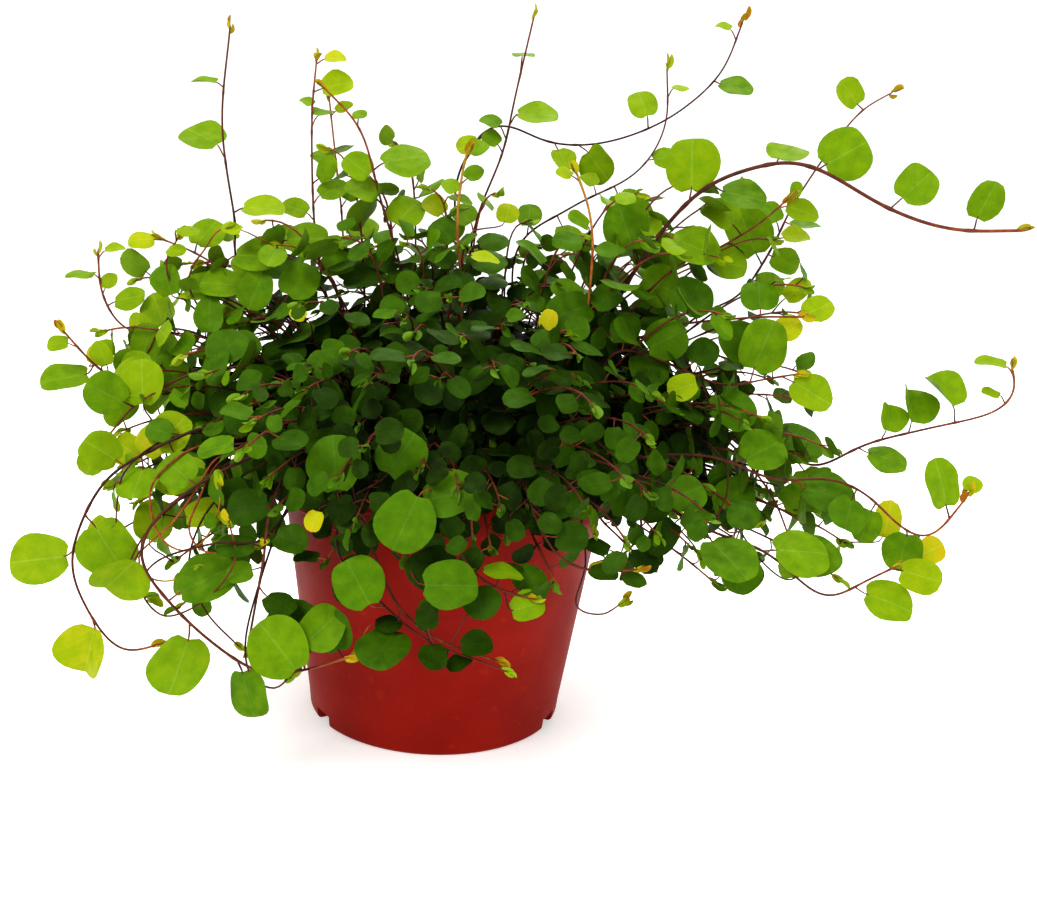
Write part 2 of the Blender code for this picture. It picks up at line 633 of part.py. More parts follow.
def clear_of_pot(point):
    """The point moved the shortest way out of the pot's wall and of the mix."""
    radius = math.hypot(point.x, point.y)
    top = POT_HEIGHT + POT_CLEARANCE
    if radius < 1e-6 or point.z >= top:
        return point
    inside = wall_radius(min(point.z, POT_HEIGHT - BAND_HEIGHT)) - POT_WALL - POT_CLEARANCE
    outside = outer_radius(point.z) + POT_CLEARANCE
    out = Vector((point.x, point.y, 0)) / radius
    if inside < radius < outside:
        moves = [
            (top - point.z, Vector((point.x, point.y, top))),
            (outside - radius, out * outside + Vector((0, 0, point.z))),
            (radius - inside + OUTWARD_PULL, out * inside + Vector((0, 0, point.z))),
        ]
        point = min(moves, key=lambda move: move[0])[1]
    if math.hypot(point.x, point.y) <= inside + 0.01:
        point.z = max(point.z, MIX_TOP + MIX_CLEARANCE)
    return point


def settle(stems):
    """Bends the stems apart, little by little, until they clear each other and the pot."""
    for _ in range(SETTLING_ROUNDS):
        places = [point.copy() for stem in stems for point in stem.line]
        owners = [stem.node for stem in stems for _ in stem.line]
        tree = KDTree(len(places))
        for index, point in enumerate(places):
            tree.insert(point, index)
        tree.balance()
        for stem in stems:
            moves = []
            for point in stem.line:
                move = Vector()
                for position, other, distance in tree.find_range(point, STEM_CLEARANCE):
                    if owners[other] != stem.node and distance > 1e-6:
                        move += (point - position) * (0.5 * (STEM_CLEARANCE / distance - 1))
                moves.append(move)
            moves = eased(moves)
            for k in range(2, len(stem.line)):
                stem.line[k] = clear_of_pot(stem.line[k] + moves[k])
    for stem in stems:
        for _ in range(EASING_ROUNDS):
            stem.line = stem.line[:2] + eased(stem.line)[2:-1] + stem.line[-1:]


def eased(moves):
    """Moves or points evened out along the stem, so that it bends and doesn't kink."""
    padded = [moves[0], *moves, moves[-1]]
    return [0.25 * a + 0.5 * b + 0.25 * c for a, b, c in zip(padded, padded[1:], padded[2:])]


def plainer(line):
    """The fewest of the line's points that stay within the tolerance of all of it."""
    if len(line) < 3:
        return line
    a, b = line[0], line[-1]
    offsets = [(point - intersect_point_line(point, a, b)[0]).length for point in line[1:-1]]
    worst = max(range(len(offsets)), key=offsets.__getitem__)
    if offsets[worst] < TUBE_TOLERANCE:
        return [a, b]
    return plainer(line[: worst + 2])[:-1] + plainer(line[worst + 1:])


def rooted(stem):
    """The stem's plain line, carried down into its hole in the mix."""
    up = Vector((0, 0, 1))
    neck = stem.line[0] + ROOT_NECK * up
    return [stem.line[0] - ROOT_DEPTH * up, neck] + plainer(stem.line[2:])


def tube(line, girth):
    """A closed three-sided tube, thicker at the root and ending in a small bud."""
    tip = line[-1] - line[-2]
    bud = min(BUD_LENGTH, 0.6 * tip.length) / tip.length
    line = line[:-1] + [line[-1] - bud * tip, line[-1] - 0.45 * bud * tip, line[-1]]
    radii = [ROOT_RADIUS, ROOT_RADIUS] + [girth] * (len(line) - 5)
    radii += [share * girth for share in BUD_GIRTHS]
    across = Vector((1, 0, 0))
    points = []
    for k, point in enumerate(line):
        before = line[max(k - 1, 0)]
        after = line[min(k + 1, len(line) - 1)]
        along = (after - before).normalized()
        across = (across - across.dot(along) * along).normalized()
        side = along.cross(across)
        for corner in range(STEM_SIDES):
            angle = math.tau * corner / STEM_SIDES
            points.append(point + radii[k] * (math.cos(angle) * across + math.sin(angle) * side))
    faces = [tuple(reversed(range(STEM_SIDES)))]
    for k in range(len(line) - 1):
        for corner in range(STEM_SIDES):
            low = k * STEM_SIDES
            after = (corner + 1) % STEM_SIDES
            faces.append((low + corner, low + after, low + STEM_SIDES + after,
                          low + STEM_SIDES + corner))
    faces.append(tuple(range(len(points) - STEM_SIDES, len(points))))
    return points, faces


class Blade:
    """One leaf: where its petiole leaves the stem, the way it reaches, the way it faces, its length."""

    def __init__(self, start, reach, normal, size, outline, draw):
        self.start = start
        self.reach = reach
        self.normal = normal
        self.size = size
        self.outline = outline
        self.petiole = draw.uniform(*(LARGE_PETIOLES if size >= LARGE_BLADE else SMALL_PETIOLES))
        self.wave = draw.uniform(*WAVES) * size
        self.curl = draw.uniform(*CURLS) * size

    def turned(self, axis, angle):
        """The same leaf swung round an axis through its start."""
        swing = Matrix.Rotation(angle, 3, axis)
        swung = copy.copy(self)
        swung.reach = swing @ self.reach
        swung.normal = swing @ self.normal
        return swung

    def solid(self, swell=0.0, bare=False):
        """Points and triangles of the closed leaf, larger all round by swell, bare of its petiole."""
        along = self.reach - self.reach.dot(self.normal) * self.normal
        along.normalize()
        side = self.normal.cross(along)
        foreshortened = 0.5 * self.size * (1 - along.dot(self.reach))
        base = self.start + self.reach * (self.petiole + foreshortened)
        first = (self.normal - self.normal.dot(self.reach) * self.reach).normalized()
        half = BLADE_THICKNESS / 2 + swell
        foot = base - 0.5 * self.reach if bare else self.start
        points = [foot + half * first, foot - half * first]
        for number, (share, width) in enumerate(self.outline):
            facing = first if share == 0.0 else self.normal
            wave = self.wave * (1 if number % 2 else -1) if width > 0.2 else 0.0
            place = base + self.size * share * along - self.curl * share * share * self.normal
            for hand in (-1, 1):
                edge = place + hand * (self.size * width + swell) * side
                edge += hand * wave * self.normal
                points += [edge + half * facing, edge - half * facing]
        tip = base + (self.size + swell) * along - self.curl * self.normal
        points += [tip + half * self.normal, tip - half * self.normal]
        return points, blade_faces(len(self.outline))


def blade_faces(rungs):
    """Triangles of a blade with the given rungs between its foot and its tip.

    Each end is a pair of points, top and under, and each rung two such pairs, left and right.
    """
    faces = [(0, 2, 4), (1, 5, 3), (0, 1, 3), (0, 3, 2), (0, 4, 5), (0, 5, 1)]
    for k in range(rungs - 1):
        a, b = 4 * k + 2, 4 * k + 6
        if k % 2:
            faces += [(a, b, a + 2), (a + 2, b, b + 2), (a + 1, a + 3, b + 1), (a + 3, b + 3, b + 1)]
        else:
            faces += [(a, b, b + 2), (a, b + 2, a + 2), (a + 1, b + 3, b + 1), (a + 1, a + 3, b + 3)]
        faces += [(a, a + 1, b + 1), (a, b + 1, b), (a + 2, b + 2, b + 3), (a + 2, b + 3, a + 3)]
    last = 4 * rungs - 2
    tip = last + 4
    faces += [(last, tip, last + 2), (last + 1, last + 3, tip + 1)]
    faces += [(last, last + 1, tip + 1), (last, tip + 1, tip)]
    faces += [(last + 2, tip, tip + 1), (last + 2, tip + 1, last + 3)]
    return faces


class Taken:
    """A solid that other leaves keep clear of."""

    def __init__(self, owner, points, faces):
        self.owner = owner
        self.tree = BVHTree.FromPolygons(points, faces)
        self.centre = sum(points, Vector()) / len(points)
        self.radius = max((point - self.centre).length for point in points)


def is_clear(blade, owner, taken):
    """True where the leaf misses all that stands, and its blade misses its own stem."""
    points, faces = blade.solid(BLADE_CLEARANCE)
    if min(point.z for point in points) < FLOOR_CLEARANCE:
        return False
    whole = Taken(owner, points, faces)
    bare = BVHTree.FromPolygons(*blade.solid(BLADE_CLEARANCE, True))
    for other in taken:
        if (other.centre - whole.centre).length > other.radius + whole.radius:
            continue
        if (bare if other.owner == owner else whole.tree).overlap(other.tree):
            return False
    return True


def front_pose(start, clock, tilt, draw):
    """The way a runner's petiole leaves and its blade faces, from its clock angle and tilt."""
    angle = math.radians(clock)
    turn = math.radians(abs(tilt))
    reach = Vector((math.cos(angle), draw.uniform(-0.22, 0.22), math.sin(angle))).normalized()
    if tilt >= 0:
        normal = Vector((0, -math.cos(turn), math.sin(turn)))
    else:
        normal = Vector((-math.sin(turn) * math.cos(angle), -math.cos(turn), 0)).normalized()
    if start.y > BACK_DEPTH:
        normal.y = -normal.y
    return reach, normal


def mound_pose(start, side, tilt, axis, draw):
    """A mound leaf faces out of the dome and up, and leaves the stem sideways and a little ahead."""
    out = Vector((
        start.x / MOUND_REACH.x ** 2,
        start.y / MOUND_REACH.y ** 2,
        (start.z - MOUND_CENTRE_Z) / MOUND_REACH.z ** 2,
    )).normalized()
    normal = (out + math.tan(math.radians(tilt)) * Vector((0, 0, 0.7))).normalized()
    normal = (normal + 0.25 * Vector([draw.uniform(-1, 1) for _ in range(3)])).normalized()
    reach = side * axis.cross(normal).normalized() + draw.uniform(0.1, 0.8) * axis
    reach += draw.uniform(-0.1, 0.3) * normal
    return reach.normalized(), normal


def grow(stems, pot, mix):
    """Places every stem's blades, the largest first, each swung clear of what stands already."""
    taken = [Taken("pot", *pot), Taken("mix", *mix)]
    solids = {}
    wishes = []
    for index, stem in enumerate(stems):
        shape = tube(rooted(stem), stem.girth)
        solids.setdefault(stem.node, []).append(shape)
        taken.append(Taken(index, *shape))
        for number, (share, _, size, _) in enumerate(stem.blades):
            if size >= SMALLEST_BLADE or share > 0.9:
                wishes.append((stem.of_mound, -size, index, number))
    placed = 0
    for of_mound, _, index, number in sorted(wishes):
        stem = stems[index]
        share, angle, size, tilt = stem.blades[number]
        draw = random.Random(SEED + 100 * index + number)
        line = rooted(stem)[1:]
        start = point_at(line, min(share, 0.985))
        axis = (point_at(line, min(share + 0.03, 1.0)) - point_at(line, share - 0.03)).normalized()
        if of_mound:
            reach, normal = mound_pose(start, angle, tilt, axis, draw)
        else:
            reach, normal = front_pose(start, angle, tilt, draw)
        outline = SMALL_OUTLINE if of_mound or size < LARGE_BLADE else LARGE_OUTLINE
        blade = Blade(start, reach, normal, size, outline, draw)
        clear = first_clear(blade, axis, index, taken)
        if clear:
            shape = clear.solid()
            solids[stem.node].append(shape)
            taken.append(Taken("blade", *shape))
            placed += 1
    print(placed, "blades of", len(wishes))
    return solids


def first_clear(blade, axis, owner, taken):
    """The leaf at the least turn, about its stem and in its own plane, at which it is clear."""
    turns = sorted(((swing, twist) for swing in SWINGS for twist in TWISTS), key=turn_cost)
    for swing, twist in turns:
        swung = blade.turned(axis, math.radians(swing))
        swung = swung.turned(swung.normal, math.radians(twist))
        if is_clear(swung, owner, taken):
            return swung
    return None


def turn_cost(turn):
    return abs(turn[0]) + 0.8 * abs(turn[1])


def shape_of(created):
    """Points in millimetres and triangles of an object as its modifiers leave it."""
    evaluated = created.evaluated_get(bpy.context.evaluated_depsgraph_get())
    mesh = evaluated.to_mesh()
    points = [vertex.co / MM for vertex in mesh.vertices]
    mesh.calc_loop_triangles()
    faces = [tuple(triangle.vertices) for triangle in mesh.loop_triangles]
    evaluated.to_mesh_clear()
    return points, faces


def joined(name, shapes, material):
    """One solid of a node's stems and blades, by one union on a collection."""
    body = new_object(name, mesh_of(*shapes[0]))
    group = bpy.data.collections.new(name + "_shapes")
    bpy.context.scene.collection.children.link(group)
    for shape in shapes[1:]:
        piece = bpy.data.objects.new("shape", mesh_of(*shape))
        piece.data.transform(Matrix.Scale(MM, 4))
        group.objects.link(piece)
    union = body.modifiers.new("union", "BOOLEAN")
    union.operation = "UNION"
    union.operand_type = "COLLECTION"
    union.collection = group
    evaluated = body.evaluated_get(bpy.context.evaluated_depsgraph_get())
    mesh = bpy.data.meshes.new_from_object(evaluated)
    body.modifiers.remove(union)
    body.data = mesh
    mesh.name = name
    for piece in list(group.objects):
        bpy.data.objects.remove(piece)
    bpy.data.collections.remove(group)
    mesh.materials.clear()
    mesh.materials.append(material)
    return body


def main():
    for old in list(bpy.data.objects):
        bpy.data.objects.remove(old)
    red = plain_material("pot_plastic", (0.42, 0.035, 0.02), 0.45)
    brown = plain_material("potting_mix", (0.025, 0.015, 0.01), 0.95)
    leaf = plain_material("vine", (0.10, 0.26, 0.03), 0.5)
    runners = runner_stems()
    mound = mound_stems()
    stems = runners + mound
    pot = build_pot(red)
    roots = sorted({(stem.line[0].x, stem.line[0].y) for stem in stems})
    mix = build_mix(brown, roots)
    settle(stems)
    solids = grow(stems, shape_of(pot), shape_of(mix))
    for name, shapes in solids.items():
        joined(name, shapes, leaf)


main()
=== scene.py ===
import math
import random

import bmesh
import bpy
from mathutils import Matrix, Vector, noise
from mathutils.geometry import intersect_point_line
from mathutils.kdtree import KDTree


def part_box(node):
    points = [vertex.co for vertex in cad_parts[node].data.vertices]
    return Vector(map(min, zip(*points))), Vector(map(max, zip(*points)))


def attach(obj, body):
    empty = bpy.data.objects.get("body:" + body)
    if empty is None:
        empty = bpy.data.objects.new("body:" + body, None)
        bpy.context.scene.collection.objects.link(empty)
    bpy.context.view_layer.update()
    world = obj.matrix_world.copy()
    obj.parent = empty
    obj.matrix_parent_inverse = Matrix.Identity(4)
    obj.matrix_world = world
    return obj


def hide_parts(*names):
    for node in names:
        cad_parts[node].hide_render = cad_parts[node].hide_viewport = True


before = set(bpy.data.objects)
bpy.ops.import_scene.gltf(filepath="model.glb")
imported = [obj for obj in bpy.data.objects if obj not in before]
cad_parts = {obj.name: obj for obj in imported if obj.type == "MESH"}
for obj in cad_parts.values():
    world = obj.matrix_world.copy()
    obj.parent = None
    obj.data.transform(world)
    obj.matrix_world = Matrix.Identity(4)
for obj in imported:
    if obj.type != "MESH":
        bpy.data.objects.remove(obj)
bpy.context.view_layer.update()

scene = bpy.context.scene
mm = 0.001  # the plant's rules work in millimetres, the meshes in metres
print("frame loaded")

# The photograph's camera, fitted to the pot
photoCamera = {
    "place": (0.0255, -0.355, 0.168),
    "pitchDown": 11.8,
    "roll": 3.9,
    "focalPixels": 1010.0,
    "imageWidth": 1037.0,
    "sensor": 36.0,
    "nearest": 0.01,
}


def placeCamera():
    c = photoCamera
    pitch, roll = math.radians(c["pitchDown"]), math.radians(c["roll"])
    look = Vector((0, math.cos(pitch), -math.sin(pitch)))
    level = Vector((1, 0, 0))
    lift = level.cross(look)
    right = math.cos(roll) * level + math.sin(roll) * lift
    up = math.cos(roll) * lift - math.sin(roll) * level
    data = bpy.data.cameras.new("photoCamera")
    data.sensor_width = c["sensor"]
    data.lens = c["sensor"] * c["focalPixels"] / c["imageWidth"]
    data.clip_start = c["nearest"]
    camera = bpy.data.objects.new("photoCamera", data)
    turn = Matrix((right, up, -look)).transposed().to_4x4()
    camera.matrix_world = Matrix.Translation(c["place"]) @ turn
    scene.collection.objects.link(camera)
    scene.camera = camera


studio = {  # a paper sweep that bends up behind the plant, under a white sky
    "floorHalf": 4.0,
    "sweepStart": 2.2,
    "sweepRadius": 1.2,
    "sweepSteps": 12,
    "floorColour": (0.90, 0.90, 0.89, 1),
    "paperRoughness": 0.9,
    "paperGlow": 0.30,
    "skyColour": (1.0, 1.0, 1.0, 1),
    "skyStrength": 0.50,
    "lampAim": Vector((0.02, 0, 0.11)),
}
lamps = {  # place, size in metres, watts
    "keyLamp": ((-0.9, -1.3, 1.5), 1.1, 26.0),
    "fillLamp": ((1.5, -1.0, 0.9), 1.3, 12.0),
    "topLamp": ((0.1, 0.3, 1.9), 1.4, 20.0),
    "backLamp": ((0.2, 1.5, 1.2), 1.2, 9.0),
}


def makeStudio():
    half, bend, steps = studio["floorHalf"], studio["sweepRadius"], studio["sweepSteps"]
    profile = [(-half, 0.0)]
    for k in range(steps + 1):
        angle = math.radians(90 * k / steps)
        profile.append((studio["sweepStart"] + bend * math.sin(angle), bend * (1 - math.cos(angle))))
    profile.append((studio["sweepStart"] + bend, half))
    points = [(x, y, z) for y, z in profile for x in (-half, half)]
    faces = [(2 * k, 2 * k + 1, 2 * k + 3, 2 * k + 2) for k in range(len(profile) - 1)]
    mesh = bpy.data.meshes.new("studioFloor")
    mesh.from_pydata(points, [], faces)
    mesh.shade_smooth()
    floor = newPiece("studioFloor", mesh)
    material, _, shader = newMaterial("palePaper")
    shader.inputs["Base Color"].default_value = studio["floorColour"]
    shader.inputs["Roughness"].default_value = studio["paperRoughness"]
    shader.inputs["Emission Color"].default_value = (1, 1, 1, 1)
    shader.inputs["Emission Strength"].default_value = studio["paperGlow"]
    mesh.materials.append(material)
    world = bpy.data.worlds.new("softSky")
    world.use_nodes = True
    sky = world.node_tree.nodes["Background"]
    sky.inputs["Color"].default_value = studio["skyColour"]
    sky.inputs["Strength"].default_value = studio["skyStrength"]
    scene.world = world
    for name, (place, size, watts) in lamps.items():
        data = bpy.data.lights.new(name, "AREA")
        data.shape = "DISK"
        data.size = size
        data.energy = watts
        lamp = newPiece(name, data)
        lamp.location = place
        lamp.rotation_euler = (studio["lampAim"] - Vector(place)).to_track_quat("-Z", "Y").to_euler()
    scene.view_settings.view_transform = "Standard"
    scene.view_settings.look = "Medium High Contrast"


def newPiece(name, data):
    piece = bpy.data.objects.new(name, data)
    scene.collection.objects.link(piece)
    return piece


# Node helpers
def newMaterial(name):
    material = bpy.data.materials.new(name)
    material.use_nodes = True
    tree = material.node_tree
    return material, tree, tree.nodes["Principled BSDF"]


def addNode(tree, kind, inputs=None, **settings):
    node = tree.nodes.new(kind)
    for key, value in settings.items():
        setattr(node, key, value)
    for key, value in (inputs or {}).items():
        if isinstance(value, bpy.types.NodeSocket):
            tree.links.new(value, node.inputs[key])
        else:
            node.inputs[key].default_value = value
    return node


def mathNode(tree, operation, a, b=0.0):
    return addNode(tree, "ShaderNodeMath", {0: a, 1: b}, operation=operation).outputs[0]


def times(tree, a, b):
    return mathNode(tree, "MULTIPLY", a, b)


def minus(tree, a, b):
    return mathNode(tree, "SUBTRACT", a, b)


def mapRange(tree, value, low, high, first=0.0, last=1.0):  # first gives low, last gives high
    return addNode(tree, "ShaderNodeMapRange", {
        "Value": value, "From Min": first, "From Max": last, "To Min": low, "To Max": high,
    }).outputs["Result"]


def mixColours(tree, share, a, b):
    colours = {"Factor": share, 6: a, 7: b}  # the colour sockets have no names of their own
    return addNode(tree, "ShaderNodeMix", colours, data_type="RGBA").outputs[2]


def rampNode(tree, value, stops):
    node = addNode(tree, "ShaderNodeValToRGB", {"Fac": value})
    ramp = node.color_ramp
    while len(ramp.elements) < len(stops):
        ramp.elements.new(0.5)
    for element, (place, colour) in zip(ramp.elements, stops):
        element.position = place
        element.color = (*colour, 1)
    return node.outputs["Color"]


def makeMottle():  # a soft mask of blotches in object space, shared by every material
    group = bpy.data.node_groups.new("mottle", "ShaderNodeTree")
    for name in ("Scale", "Low", "High", "Detail"):
        group.interface.new_socket(name, in_out="INPUT", socket_type="NodeSocketFloat")
    group.interface.new_socket("Mask", in_out="OUTPUT", socket_type="NodeSocketFloat")
    given = group.nodes.new("NodeGroupInput").outputs
    where = group.nodes.new("ShaderNodeTexCoord")
    blotches = addNode(group, "ShaderNodeTexNoise", {
        "Vector": where.outputs["Object"], "Scale": given["Scale"], "Detail": given["Detail"],
    })
    mask = mapRange(group, blotches.outputs["Fac"], 0.0, 1.0, given["Low"], given["High"])
    group.links.new(mask, group.nodes.new("NodeGroupOutput").inputs["Mask"])
    return group


def mottle(tree, scale, low, high, detail=3.0):
    given = {"Scale": scale, "Low": low, "High": high, "Detail": detail}
    return addNode(tree, "ShaderNodeGroup", given, node_tree=mottleGroup).outputs["Mask"]


def paint(tree, shader, colour, mask, finish):  # the mask spreads the roughness over its range
    tree.links.new(colour, shader.inputs["Base Color"])
    tree.links.new(mapRange(tree, mask, *finish["roughness"]), shader.inputs["Roughness"])
    shader.inputs["Specular IOR Level"].default_value = finish["specular"]


def addBump(tree, shader, height, strength, distance):
    bump = addNode(tree, "ShaderNodeBump", {
        "Height": height, "Strength": strength, "Distance": distance,
    })
    tree.links.new(bump.outputs["Normal"], shader.inputs["Normal"])


mottleGroup = makeMottle()
makeStudio()
placeCamera()
print("camera and studio placed")

# Materials. A mask is its scale, low end, high end and detail. A bump is its strength and its
# height in metres.
potFinish = {
    "red": (0.26, 0.008, 0.002, 1),
    "paleRed": (0.34, 0.022, 0.009, 1),
    "darkRed": (0.19, 0.005, 0.0015, 1),
    "roughness": (0.46, 0.62),
    "specular": 0.09,
    "clouds": (38.0, 0.3, 0.75),
    "grain": (2600.0, 0.2, 0.8, 2.0),
    "scuffs": (210.0, 0.62, 0.70, 6.0),
    "scuffShare": 0.35,
    "rings": {"Scale": 190.0, "Distortion": 0.6, "Detail": 2.0},
    "ringHeight": 0.25,
    "bump": (0.18, 0.00006),
}


def makePotMaterial():  # satin moulded plastic: faint clouding, scuffs and fine turning marks
    f = potFinish
    material, tree, shader = newMaterial("mouldedTerracottaPlastic")
    clouds = mottle(tree, *f["clouds"])
    grain = mottle(tree, *f["grain"])
    base = mixColours(tree, clouds, f["red"], f["darkRed"])
    scuffs = times(tree, mottle(tree, *f["scuffs"]), f["scuffShare"])
    base = mixColours(tree, scuffs, base, f["paleRed"])
    paint(tree, shader, base, clouds, f)
    where = addNode(tree, "ShaderNodeTexCoord").outputs["Object"]
    rings = addNode(tree, "ShaderNodeTexWave", {"Vector": where, **f["rings"]}, bands_direction="Z")
    height = mathNode(tree, "ADD", times(tree, rings.outputs["Fac"], f["ringHeight"]), grain)
    addBump(tree, shader, height, *f["bump"])
    return material


mixFinish = {
    # painted shade: the colour of the bump's hollows, nearly black
    "hollow": (0.010, 0.006, 0.004, 1),
    "crumb": (0.055, 0.030, 0.017, 1),
    "fibre": (0.03, 0.02, 0.012, 1),
    "roughness": 0.95,
    "crumbs": (420.0, 0.35, 0.7, 6.0),
    "tufts": (120.0, 0.3, 0.7, 4.0),
    "fibreShare": 0.4,
    "bump": (0.8, 0.0008),
}


def makeMixMaterial():  # moist peat: brown crumbs and a few pale fibres, with painted shade that makes the bump's hollows nearly black
    f = mixFinish
    material, tree, shader = newMaterial("pottingMix")
    crumbs = mottle(tree, *f["crumbs"])
    # painted shade: the crumbs mask that raises the bump also darkens its hollows
    base = mixColours(tree, crumbs, f["hollow"], f["crumb"])
    fibres = times(tree, mottle(tree, *f["tufts"]), f["fibreShare"])
    tree.links.new(mixColours(tree, fibres, base, f["fibre"]), shader.inputs["Base Color"])
    shader.inputs["Roughness"].default_value = f["roughness"]
    addBump(tree, shader, crumbs, *f["bump"])
    return material


leafFinish = {
    "ages": (  # youngest to oldest, and lightest to darkest: the dark end also paints the shade deep in the mound
        (0.00, (0.34, 0.11, 0.006)),
        (0.09, (0.43, 0.34, 0.004)),
        (0.16, (0.37, 0.39, 0.005)),
        (0.24, (0.27, 0.35, 0.002)),
        (0.42, (0.155, 0.265, 0.0015)),
        (0.60, (0.070, 0.160, 0.0012)),
        (0.78, (0.031, 0.080, 0.001)),
        (1.00, (0.009, 0.021, 0.0008)),
    ),
    "ageShift": 0.10,  # how far the blotches move a leaf's age
    "blotches": (260.0, 0.3, 0.7),
    "fleck": (1500.0, 0.25, 0.8, 2.0),
    "fleckValue": 0.86,
    "fleckShare": 0.5,
    "fleckHeight": 0.35,
    "ribEdges": (0.006, 0.028),
    "sideVeins": 6.0,
    "veinSlant": 0.9,
    "veinEdges": (0.03, 0.22),
    "sideVeinDepth": 0.45,
    "veinPale": {"Value": 1.45, "Saturation": 0.85},
    "veinShare": 0.28,
    "underSide": 2.0,  # what the underside's first texture coordinate has on top
    "underPale": (0.17, 0.29, 0.03, 1),
    "underShare": 0.35,
    "roughness": (0.46, 0.64),
    "specular": 0.06,
    "bump": (0.35, 0.00015),
}


def makeLeafMaterial():
    f = leafFinish
    material, tree, shader = newMaterial("vineLeaf")
    # The age attribute carries painted shade as well as the leaf's age: leaves deep in the mound are
    # darker, those on the left and on top lighter.
    age = addNode(tree, "ShaderNodeAttribute", attribute_name="age").outputs["Fac"]
    place = addNode(tree, "ShaderNodeUVMap", uv_map="leafPlace").outputs["UV"]
    split = addNode(tree, "ShaderNodeSeparateXYZ", {"Vector": place})
    across, along = split.outputs["X"], split.outputs["Y"]
    under = mathNode(tree, "GREATER_THAN", across, f["underSide"] - 0.5)
    inside = minus(tree, across, times(tree, under, f["underSide"]))
    offRib = mathNode(tree, "ABSOLUTE", minus(tree, inside, 0.5))
    blotches = mottle(tree, *f["blotches"])
    fleck = mottle(tree, *f["fleck"])
    shift = times(tree, minus(tree, blotches, 0.5), f["ageShift"])
    green = rampNode(tree, mathNode(tree, "ADD", age, shift), f["ages"])
    rib = mapRange(tree, offRib, 1.0, 0.0, *f["ribEdges"])
    row = times(tree, minus(tree, along, times(tree, offRib, f["veinSlant"])), f["sideVeins"])
    wave = mathNode(tree, "ABSOLUTE", mathNode(tree, "SINE", times(tree, row, math.pi)))
    sideVein = times(tree, mapRange(tree, wave, 1.0, 0.0, *f["veinEdges"]), f["sideVeinDepth"])
    veins = mathNode(tree, "MAXIMUM", rib, sideVein)
    paler = addNode(tree, "ShaderNodeHueSaturation", {"Color": green, **f["veinPale"]})
    green = mixColours(tree, times(tree, veins, f["veinShare"]), green, paler.outputs["Color"])
    green = mixColours(tree, times(tree, under, f["underShare"]), green, f["underPale"])
    darker = addNode(tree, "ShaderNodeHueSaturation", {"Color": green, "Value": f["fleckValue"]})
    green = mixColours(tree, times(tree, fleck, f["fleckShare"]), green, darker.outputs["Color"])
    paint(tree, shader, green, blotches, f)
    height = minus(tree, times(tree, fleck, f["fleckHeight"]), veins)
    addBump(tree, shader, height, *f["bump"])
    return material


stemFinish = {
    "tones": (  # old wood to young growth
        (0.00, (0.012, 0.005, 0.004)),
        (0.35, (0.040, 0.010, 0.006)),
        (0.60, (0.13, 0.026, 0.010)),
        (0.82, (0.33, 0.085, 0.014)),
        (1.00, (0.36, 0.24, 0.02)),
    ),
    "toneShift": 0.22,
    "patches": (350.0, 0.3, 0.7),
    "grain": (1900.0, 0.2, 0.8),
    "roughness": (0.38, 0.62),
    "specular": 0.2,
    "bump": (0.3, 0.0001),
}


def makeStemMaterial():
    f = stemFinish
    material, tree, shader = newMaterial("wiryStem")
    tone = addNode(tree, "ShaderNodeAttribute", attribute_name="tone").outputs["Fac"]
    patches = mottle(tree, *f["patches"])
    shift = times(tree, minus(tree, patches, 0.5), f["toneShift"])
    bark = rampNode(tree, mathNode(tree, "ADD", tone, shift), f["tones"])
    paint(tree, shader, bark, patches, f)
    addBump(tree, shader, mottle(tree, *f["grain"]), *f["bump"])
    return material


potMaterial = makePotMaterial()
mixMaterial = makeMixMaterial()
leafMaterial = makeLeafMaterial()
stemMaterial = makeStemMaterial()
print("materials made")

# Pot and potting mix
potSizes = {
    "sides": 96,
    "wallRadius": 45.6,  # at the foot
    "taper": 0.138,  # the radius gained per mm of height
    "wallHeights": (6, 14, 24, 36, 48, 60, 70),
    "wall": 1.2,
    "bandHeight": 14.5,
    "bandStep": 2.6,
    "lipThickness": 2.0,
    "lipHeight": 2.4,
    "lipRound": 0.9,
    "round": 0.5,
    "footRound": 1.6,
    "footRings": (0.0, 20.0, 40.0),
    "notchAngles": (217.0, 337.0, 97.0),
    "notchSize": (9.0, 9.0, 9.0),
    "notchRing": 44.8,
    "drainHoles": 5,
    "drainRadius": 4.0,
    "drainRing": 27.0,
    "drainSides": 24,
    "sharpAngle": 38,
}
mixSizes = {
    "top": 84.0,
    "sideGap": 1.75,
    "footGap": 0.3,
    "edge": 1.5,
    "edgeDrop": 1.2,
    "topDrop": 0.4,
    "rings": 22,
    "sides": 72,
    "rough": 1.1,
    "swells": (160, 45),  # the fine and the broad unevenness, in waves per metre
    "swellLimits": (-1.6, 0.9),
    "crumbs": 900,
    "crumbSize": (0.7, 2.4),
    "crumbUneven": 0.16,
    "crumbDrop": 2.5,  # no crumb lies deeper than this
    "seed": 5,
}
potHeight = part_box("pot")[1].z / mm
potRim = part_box("pot")[1].x / mm


def wallRadius(z):
    return potSizes["wallRadius"] + potSizes["taper"] * z


def arc(centre, radius, first, last, count):
    points = []
    for k in range(count + 1):
        angle = math.radians(first + (last - first) * k / count)
        points.append((centre[0] + radius * math.cos(angle), centre[1] + radius * math.sin(angle)))
    return points


def turnedMesh(name, profile, sides):  # closed, spun about Z from a profile with both ends on the axis
    points, faces, rings = [], [], []
    for radius, z in profile:
        count = sides if radius else 1
        rings.append(list(range(len(points), len(points) + count)))
        for k in range(count):
            angle = math.tau * k / sides
            points.append((radius * math.cos(angle) * mm, radius * math.sin(angle) * mm, z * mm))
    for low, high in zip(rings, rings[1:]):
        for k in range(sides):
            after = (k + 1) % sides
            if len(low) == 1:
                faces.append((low[0], high[after], high[k]))
            elif len(high) == 1:
                faces.append((low[k], low[after], high[0]))
            else:
                faces.append((low[k], low[after], high[after], high[k]))
    mesh = bpy.data.meshes.new(name)
    mesh.from_pydata(points, [], faces)
    return mesh


